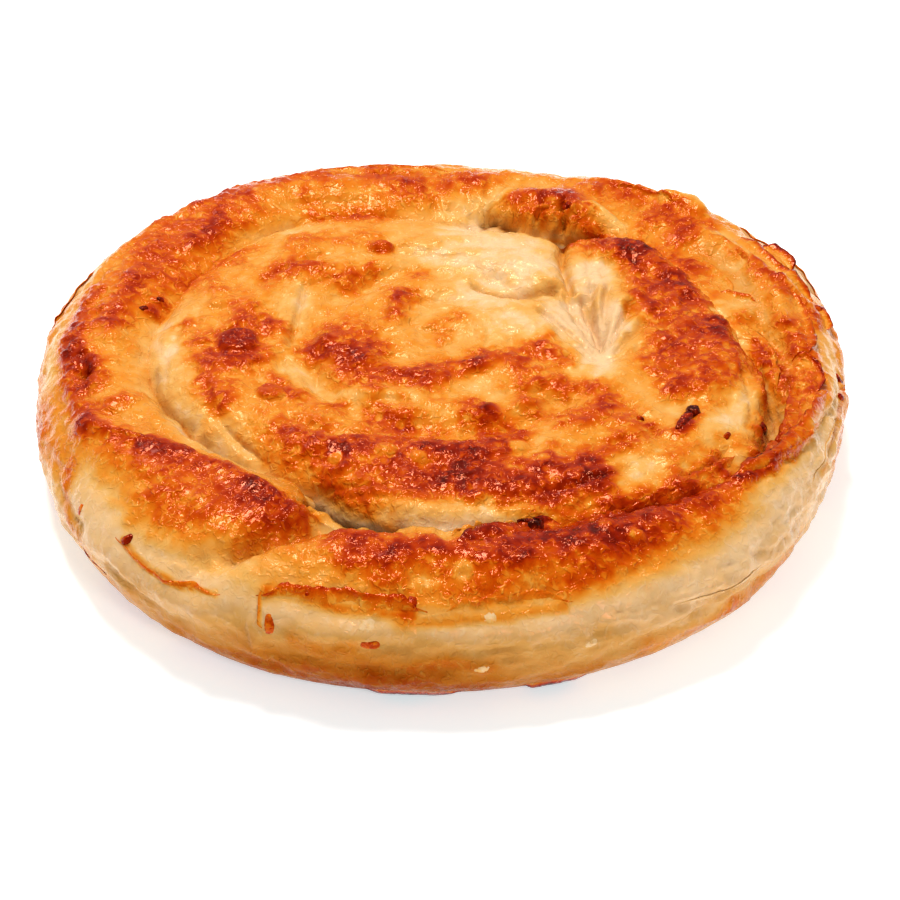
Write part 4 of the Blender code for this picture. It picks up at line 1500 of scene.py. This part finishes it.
def smoothed(grid: np.ndarray, rounds: int) -> np.ndarray:
    """Even a grid out along its rows, its ends kept.

    Args:
        grid: The grid.
        rounds: How many times it is evened out.

    Returns:
        The evened grid.
    """
    for _ in range(rounds):
        grid = grid.copy()
        grid[1:-1] = 0.25 * grid[:-2] + 0.5 * grid[1:-1] + 0.25 * grid[2:]
    return grid


@dataclass
class LooseLeaves:
    """All torn leaf edges, each a closed thin sheet whose root lies in the dough."""

    dough: Dough
    surface: DoughSurface
    step: float = 0.4
    columns: int = 6
    root_depth: float = 0.45
    # How far behind its root each sheet begins, inside the dough
    root_reach: float = 0.8

    def sheet(self, torn: TornLeaf) -> LoosePart:
        """Return one leaf's vertices, faces and browning.

        Args:
            torn: The leaf.

        Returns:
            Its vertices, its faces and the browning of each vertex.
        """
        rough = torn.root.points(8)
        length = float(np.linalg.norm(np.diff(rough, axis=0), axis=1).sum())
        rows = max(10, int(length / self.step))
        curve = torn.root.points(rows)
        along = np.linspace(0.0, length, rows + 1)
        tangent = unit(np.gradient(curve, axis=0))
        left = np.column_stack([-tangent[:, 1], tangent[:, 0]])
        seat = np.column_stack([along, np.full(rows + 1, curve[0, 0]), np.full(rows + 1, curve[0, 1])])
        fade = ramp(along, 0.0, 0.16 * length) * (1.0 - ramp(along, 0.84 * length, length))
        tatters = 0.7 * self.dough.fine.layered(seat / 2.6) + 0.5 * self.dough.warp.layered(seat / 0.9)
        reach = torn.reach * fade * np.maximum(1.0 + torn.tatter * tatters, 0.1)
        lift = torn.lift * fade * (1.0 + 0.6 * self.dough.broad.layered(seat / 4.0))
        share = np.linspace(0.0, 1.0, self.columns)[None, :]
        out = -self.root_reach + share * (reach[:, None] + self.root_reach)
        first = curve[:, :1] + left[:, :1] * out
        second = curve[:, 1:] + left[:, 1:] * out
        place, normal = self.surface.grid(first, second, torn.lies)
        if torn.lies is Lies.TOP:
            # A leaf on the top hangs over a gap instead of following the dough down into it
            place[:, :, 2] = np.maximum(place[:, :, 2], place[:, :1, 2] - 0.45 * np.maximum(out, 0.0) - 0.2)
        high = -self.root_depth + (lift[:, None] + self.root_depth) * share ** 1.3
        half = 0.5 * torn.thick * (1.0 - 0.55 * share)
        upper = place + normal * (high + half)[:, :, None]
        lower = place + normal * (high - half)[:, :, None]
        ring = settled(np.concatenate([upper, lower[:, ::-1]], axis=1))
        edge = ramp(share, 0.35, 0.95) * (0.85 + 0.5 * self.dough.fine.layered(seat / 1.8 + 3.0))[:, None]
        browned = self.dough.browning(place.reshape(-1, 3), np.full(place.shape[0] * self.columns, 0.5))
        browned = browned.reshape(place.shape[:2])
        browned = browned + (torn.burnt - browned) * np.clip(edge, 0.0, 1.0)
        paint = np.concatenate([browned, browned[:, ::-1]], axis=1)
        width = 2 * self.columns
        ends = [tuple(reversed(range(width))), tuple(range(rows * width, (rows + 1) * width))]
        return ring.reshape(-1, 3), ends + grid_faces(rows + 1, width, False, True), paint.ravel()

    def skin(self) -> SkinMesh:
        """Return all leaves as one mesh."""
        return gathered("torn_leaf_edges", [self.sheet(torn) for torn in LEAVES])


@dataclass
class BakedCrumbs:
    """Flakes and crumbs of burnt leaf that baked onto the dough."""

    dough: Dough
    surface: DoughSurface
    rings: int = 6
    segments: int = 26
    # How square a flake's outline is: 2 is an oval
    corner: float = 3.2
    # How deep a flake's underside lies in the dough
    bedded: float = 0.5

    def flake(self, crumb: Crumb) -> LoosePart:
        """Return one crumb's vertices, faces and browning.

        Args:
            crumb: The crumb.

        Returns:
            Its vertices, its faces and the browning of each vertex.
        """
        turn = np.linspace(0.0, TAU, self.segments, endpoint=False)
        share = (np.arange(self.rings) + 1.0)[:, None] / self.rings
        square = np.abs(np.cos(turn)) ** self.corner + np.abs(np.sin(turn)) ** self.corner
        square = square ** (-1.0 / self.corner)
        seat = [np.cos(turn) + crumb.place[0], np.sin(turn) + crumb.place[1], np.zeros_like(turn)]
        seat = np.column_stack(seat)
        outline = square * (1.0 + 0.22 * self.dough.fine.layered(seat * 1.1))
        first = 0.5 * crumb.size[0] * outline * np.cos(turn) * share
        second = 0.5 * crumb.size[1] * outline * np.sin(turn) * share
        tilt = math.radians(crumb.turned)
        a = crumb.place[0] + first * math.cos(tilt) - second * math.sin(tilt)
        b = crumb.place[1] + first * math.sin(tilt) + second * math.cos(tilt)
        place, normal = self.surface.grid(a, b, crumb.lies)
        lumps = 1.0 + 0.5 * self.dough.fine.layered(place.reshape(-1, 3) / 0.9).reshape(a.shape)
        high = crumb.thick * lumps * (1.0 - share ** 5)
        top = place + normal * (high - 0.1)[:, :, None]
        middle, out = self.surface.at(*crumb.place, crumb.lies)
        crown = middle + out * crumb.thick
        below = place[-1] - normal[-1] * self.bedded
        foot = middle - out * self.bedded
        points = settled(np.vstack([crown[None, :], top.reshape(-1, 3), below, foot[None, :]]))
        faces = []
        count = self.segments
        for k in range(count):
            after = (k + 1) % count
            faces.append((0, 1 + k, 1 + after))
            for ring in range(self.rings):
                low = 1 + ring * count
                faces.append((low + k, low + count + k, low + count + after, low + after))
            faces.append((1 + self.rings * count + k, len(points) - 1, 1 + self.rings * count + after))
        browned = crumb.burnt + 0.18 * self.dough.warp.layered(points / 1.3)
        return points, faces, np.clip(browned, 0.0, 1.0)

    def skin(self) -> SkinMesh:
        """Return all crumbs as one mesh."""
        return gathered("baked_on_crumbs", [self.flake(crumb) for crumb in CRUMBS])


def gathered(name: str, parts: list[LoosePart]) -> SkinMesh:
    """Return many small closed bodies as one mesh.

    Args:
        name: The mesh's name.
        parts: The loose parts.

    Returns:
        The mesh.
    """
    faces: Faces = []
    count = 0
    for points, own, _ in parts:
        faces += [tuple(corner + count for corner in face) for face in own]
        count += len(points)
    browned = np.concatenate([paint for _, _, paint in parts])
    paint = {"browning": browned, "painted_shade": np.zeros(count)}
    return SkinMesh(name, np.vstack([points for points, _, _ in parts]), faces, paint)


# ---------------------------------------------------------------- finishes


def linear(code: str) -> tuple[float, float, float, float]:
    """Return a linear colour from an sRGB hex value such as "#E9C68C"."""
    parts = [int(code[i : i + 2], 16) / 255.0 for i in (1, 3, 5)]
    red, green, blue = (p / 12.92 if p <= 0.04045 else ((p + 0.055) / 1.055) ** 2.4 for p in parts)
    return (red, green, blue, 1.0)


def add_node(
    tree: bpy.types.NodeTree,
    kind: str,
    settings: dict[str, object] | None = None,
    values: dict[str | int, object] | None = None,
    links: dict[str | int, bpy.types.NodeSocket] | None = None,
) -> bpy.types.Node:
    """Add one shader node with its settings, socket values and incoming links.

    Args:
        tree: The node tree it goes in.
        kind: The node's type name.
        settings: Its own properties.
        values: Values of its unlinked inputs.
        links: What feeds its other inputs.

    Returns:
        The new node.
    """
    node = tree.nodes.new(kind)
    for key, value in (settings or {}).items():
        setattr(node, key, value)
    for key, value in (values or {}).items():
        node.inputs[key].default_value = value
    for key, socket in (links or {}).items():
        tree.links.new(socket, node.inputs[key])
    return node


def new_material(name: str) -> bpy.types.Material:
    """Return a node material with nothing in it yet.

    Args:
        name: The finish's name.

    Returns:
        The material.
    """
    material = bpy.data.materials.new(name)
    material.use_nodes = True
    material.node_tree.nodes.clear()
    return material


@dataclass(frozen=True)
class BakedLeafDough:
    """Thin leaf dough, oiled and oven-baked: pale and waxy where shielded, browned and blistered on top.

    The oil film gives small sharp glints on the crinkles over a soft satin sheen, and thin pale dough lets
    some light through.
    """

    name: str = "leaf_dough_oiled_oven_baked"
    # Browning share and colour, from raw-looking dough to nearly burnt
    tones: tuple[tuple[float, str], ...] = (
        (0.00, "#E2BD8E"), (0.12, "#DCA557"), (0.26, "#D9892A"), (0.40, "#D26C10"), (0.54, "#C24C03"),
        (0.68, "#A82D01"), (0.80, "#841501"), (0.91, "#580701"), (1.00, "#300302"),
    )
    # Painted shade: what is left of each colour in a deep fold, an opening or low on the side
    shade_colour: str = "#8C5A28"
    # The tint of light that glances off the oily leaf
    sheen: str = "#FF7418"
    # Real curls of the leaf are 0.3 to 1.5 mm wide, and its mottle and blisters 1 to 4 mm. The finest would
    # not show at this size, so each pattern is drawn at the coarse end.
    curl_mm: float = 1.5
    mottle_mm: float = 3.2
    cell_mm: float = 2.4
    # How far the mottle pushes the blisters out of their round shapes
    push_mm: float = 1.6
    # How high the curls stand in the oil film
    film_mm: float = 0.18

    def build(self) -> bpy.types.Material:
        """Dress the dough.

        Returns:
            The node material.
        """
        material = new_material(self.name)
        tree = material.node_tree
        smooth = {"interpolation_type": "SMOOTHSTEP"}
        scaled = {"operation": "MULTIPLY_ADD"}
        place = add_node(tree, "ShaderNodeTexCoord").outputs["Object"]
        browned = add_node(tree, "ShaderNodeAttribute", {"attribute_name": "browning"}).outputs["Fac"]
        painted_shade = add_node(tree, "ShaderNodeAttribute", {"attribute_name": "painted_shade"}).outputs["Fac"]
        mottle = add_node(
            tree, "ShaderNodeTexNoise", {"noise_dimensions": "3D"},
            {"Scale": 1.0 / (self.mottle_mm * MM), "Detail": 2.0, "Roughness": 0.5, "Distortion": 0.6},
            {"Vector": place},
        )
        # Curls and puckers into which the leaf shrank; the oil lies over them and catches the light on each
        curls = add_node(
            tree, "ShaderNodeTexNoise", {"noise_dimensions": "3D"},
            {"Scale": 1.0 / (self.curl_mm * MM), "Detail": 1.0, "Roughness": 0.5, "Distortion": 0.9},
            {"Vector": place},
        ).outputs["Fac"]
        # The leaf blistered into small cells, paler in the middle and amber where they meet
        push = self.push_mm * MM
        shifted = add_node(
            tree, "ShaderNodeVectorMath", scaled,
            {1: (push, push, push)}, {0: mottle.outputs["Color"], 2: place},
        )
        cells = add_node(
            tree, "ShaderNodeTexVoronoi", {"feature": "F1"},
            {"Scale": 1.0 / (self.cell_mm * MM), "Randomness": 1.0}, {"Vector": shifted.outputs[0]},
        ).outputs["Distance"]
        meet = add_node(
            tree, "ShaderNodeMapRange", smooth,
            {"From Min": 0.15, "From Max": 0.65, "To Min": -0.62, "To Max": -0.37}, {"Value": cells},
        ).outputs["Result"]
        patchy = add_node(
            tree, "ShaderNodeMath", {"operation": "ADD"}, {}, {0: mottle.outputs["Fac"], 1: meet}
        ).outputs[0]
        # Painted highlight: the crest of each curl is drawn lighter than the dough between, standing in for
        # its glint
        painted_glints = add_node(
            tree, "ShaderNodeMapRange", smooth,
            {"From Min": 0.54, "From Max": 0.66, "To Min": 0.0, "To Max": -0.40}, {"Value": curls},
        ).outputs["Result"]
        patches_and_glints = add_node(
            tree, "ShaderNodeMath", {"operation": "ADD"}, {}, {0: patchy, 1: painted_glints}
        ).outputs[0]
        # The patches show most where the dough is half browned
        middling = add_node(
            tree, "ShaderNodeMapRange", smooth,
            {"From Min": 0.20, "From Max": 0.46, "To Min": 0.06, "To Max": 0.33}, {"Value": browned},
        ).outputs["Result"]
        spread = add_node(
            tree, "ShaderNodeMath", scaled, {}, {0: patches_and_glints, 1: middling, 2: browned}
        ).outputs[0]
        # Painted shade darkens the colour towards the shade colour where the painted shade mask is high
        shaded = add_node(
            tree, "ShaderNodeMix", {"data_type": "RGBA", "blend_type": "MULTIPLY"},
            {7: linear(self.shade_colour)}, {0: painted_shade, 6: self.toned(tree, spread)},
        )
        # Small puckers stand off a smooth film, each with one bright rim
        amount = add_node(
            tree, "ShaderNodeMapRange", smooth,
            {"From Min": 0.10, "From Max": 0.40, "To Min": 0.42, "To Max": 0.92}, {"Value": browned},
        ).outputs["Result"]
        puckers = add_node(
            tree, "ShaderNodeMapRange", smooth,
            {"From Min": 0.43, "From Max": 0.71, "To Min": 0.0, "To Max": 1.0}, {"Value": curls},
        ).outputs["Result"]
        crisp = add_node(
            tree, "ShaderNodeMath", scaled, {}, {0: puckers, 1: amount, 2: mottle.outputs["Fac"]}
        ).outputs[0]
        domes = add_node(tree, "ShaderNodeMath", scaled, {1: -0.4}, {0: cells, 2: crisp}).outputs[0]
        film = add_node(
            tree, "ShaderNodeBump", {}, {"Strength": 1.0, "Distance": self.film_mm * MM}, {"Height": domes}
        ).outputs["Normal"]
        satin = add_node(
            tree, "ShaderNodeMapRange", smooth,
            {"From Min": 0.12, "From Max": 0.42, "To Min": 0.22, "To Max": 0.12}, {"Value": browned},
        ).outputs["Result"]
        # Gloss follows the painted shade: folds and the side's foot drank their oil, so little gloss is left
        # on them
        gloss = add_node(
            tree, "ShaderNodeMapRange", smooth,
            {"From Min": 0.05, "From Max": 0.45, "To Min": 0.43, "To Max": 0.04}, {"Value": painted_shade},
        ).outputs["Result"]
        shader = add_node(
            tree, "ShaderNodeBsdfPrincipled", {},
            {
                "IOR": 1.45, "Specular Tint": linear(self.sheen),
                "Coat Weight": 0.03, "Coat Roughness": 0.06, "Coat IOR": 1.46,
                "Subsurface Weight": 0.12, "Subsurface Scale": 1.0,
                "Subsurface Radius": (0.0020, 0.0009, 0.0004),
            },
            {
                "Base Color": shaded.outputs[2], "Roughness": satin, "Specular IOR Level": gloss,
                "Normal": film, "Coat Normal": film,
            },
        )
        add_node(tree, "ShaderNodeOutputMaterial", {}, {}, {"Surface": shader.outputs["BSDF"]})
        return material

    def toned(self, tree: bpy.types.NodeTree, share: bpy.types.NodeSocket) -> bpy.types.NodeSocket:
        """Give the dough its colour for each share of browning.

        Args:
            tree: The node tree.
            share: The share of browning.

        Returns:
            The socket with the colour.
        """
        colour = add_node(tree, "ShaderNodeValToRGB", {}, {}, {"Fac": share})
        stops = colour.color_ramp.elements
        while len(stops) < len(self.tones):
            stops.new(0.5)
        for stop, (browned, code) in zip(stops, self.tones):
            stop.position = browned
            stop.color = linear(code)
        return colour.outputs["Color"]


@dataclass(frozen=True)
class LitGround:
    """White matt acrylic ground, lit from beneath: even and pale, with only the faintest contact shadow."""

    name: str = "studio_ground_backlit_matt_acrylic"
    colour: str = "#FAFAFA"
    glow: float = 0.55
    backlight: str = "#E8F8FC"
    # The real stipple is about 0.1 mm wide, far too fine to show, so it is drawn coarser
    grain_mm: float = 1.2

    def build(self) -> bpy.types.Material:
        """Dress the ground.

        Returns:
            The node material.
        """
        material = new_material(self.name)
        tree = material.node_tree
        place = add_node(tree, "ShaderNodeTexCoord").outputs["Object"]
        stipple = add_node(
            tree, "ShaderNodeTexNoise", {}, {"Scale": 1.0 / (self.grain_mm * MM), "Detail": 2.0},
            {"Vector": place},
        )
        bump = add_node(
            tree, "ShaderNodeBump", {}, {"Strength": 0.05, "Distance": 0.05 * MM},
            {"Height": stipple.outputs["Fac"]},
        )
        shader = add_node(
            tree, "ShaderNodeBsdfPrincipled", {},
            {
                "Base Color": linear(self.colour), "Roughness": 0.9, "Specular IOR Level": 0.2,
                "Emission Color": linear(self.backlight), "Emission Strength": self.glow,
            },
            {"Normal": bump.outputs["Normal"]},
        )
        add_node(tree, "ShaderNodeOutputMaterial", {}, {}, {"Surface": shader.outputs["BSDF"]})
        return material


# ---------------------------------------------------------------- studio


@dataclass(frozen=True)
class Studio:
    """The floor, the soft lights and the camera."""

    camera_height_deg: float = 36.0
    camera_distance_mm: float = 630.0
    aim_height_mm: float = 13.95
    focal_pixels: float = 2851.5
    sensor_mm: float = 36.0
    # Where the photograph shows the middle of the pastry, in its 900 x 900 frame
    middle_px: tuple[float, float] = (441.8, 393.6)

    def floor(self) -> bpy.types.Object:
        """Lay the floor under the pastry.

        Returns:
            The floor.
        """
        bpy.ops.mesh.primitive_plane_add(size=6.0, location=(0.0, 0.0, -0.0002))
        floor = bpy.context.object
        floor.name = "studio_floor"
        floor.data.materials.append(LitGround().build())
        return floor

    def light(
        self, name: str, place: tuple[float, float, float], size: float, watts: float, tint: str
    ) -> None:
        """Add a soft square light that faces the pastry.

        Args:
            name: Its name.
            place: Where it hangs, in metres.
            size: Its side, in metres.
            watts: Its power.
            tint: Its colour.
        """
        data = bpy.data.lights.new(name, "AREA")
        data.shape = "SQUARE"
        data.size = size
        data.energy = watts
        data.color = linear(tint)[:3]
        lamp = bpy.data.objects.new(name, data)
        lamp.location = place
        lamp.rotation_mode = "QUATERNION"
        lamp.rotation_quaternion = (-Vector(place)).to_track_quat("-Z", "Y")
        bpy.context.scene.collection.objects.link(lamp)

    def camera(self) -> None:
        """Set the camera at the photograph's angle, with the photograph's framing."""
        data = bpy.data.cameras.new("studio_camera")
        data.sensor_width = self.sensor_mm
        data.lens = self.focal_pixels / FRAME_PIXELS * self.sensor_mm
        data.shift_x = (0.5 * FRAME_PIXELS - self.middle_px[0]) / FRAME_PIXELS
        data.shift_y = (self.middle_px[1] - 0.5 * FRAME_PIXELS) / FRAME_PIXELS
        data.clip_start = 0.01
        rise = math.radians(self.camera_height_deg)
        back = Vector((0.0, -math.cos(rise), math.sin(rise)))
        off = PLAN.middle()
        aim = Vector((-off[0], -off[1], self.aim_height_mm)) * MM
        camera = bpy.data.objects.new("studio_camera", data)
        camera.location = aim + back * self.camera_distance_mm * MM
        camera.rotation_mode = "QUATERNION"
        camera.rotation_quaternion = (-back).to_track_quat("-Z", "Y")
        bpy.context.scene.collection.objects.link(camera)
        bpy.context.scene.camera = camera

    def build(self) -> None:
        """Set up the studio."""
        self.floor()
        self.camera()
        self.light("overhead_softbox", (-0.14, 0.42, 1.08), 0.34, 15.0, "#FFFEFB")
        self.light("back_strip", (-0.45, 0.95, 0.85), 0.25, 0.8, "#FFFFFF")
        self.light("front_strip", (0.42, -0.84, 0.60), 0.22, 2.6, "#FFFFFF")
        world = bpy.data.worlds.new("studio_white")
        world.use_nodes = True
        background = world.node_tree.nodes["Background"]
        background.inputs["Color"].default_value = linear("#FFF7EE")
        background.inputs["Strength"].default_value = 0.34
        bpy.context.scene.world = world
        bpy.context.scene.view_settings.view_transform = "Standard"
        bpy.context.scene.view_settings.look = "None"


# ---------------------------------------------------------------- putting it together


def finish_piece(piece: bpy.types.Object) -> None:
    """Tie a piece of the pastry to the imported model."""
    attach(piece, BODY)
    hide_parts(NODE)
    LOG.info("%s: %d faces", piece.name, len(piece.data.polygons))


def main() -> None:
    """Build the pastry in its studio."""
    logging.basicConfig(level=logging.INFO, format="%(name)s %(message)s")
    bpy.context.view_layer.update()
    Studio().build()
    dough = Dough()
    finish = BakedLeafDough().build()
    coil = InnerCoil(dough).skin()
    turn = OuterTurn(dough).skin()
    surface = DoughSurface([coil, turn])
    for skin in (coil, turn, LooseLeaves(dough, surface).skin(), BakedCrumbs(dough, surface).skin()):
        finish_piece(skin.build(finish))


if __name__ == "__main__":
    main()
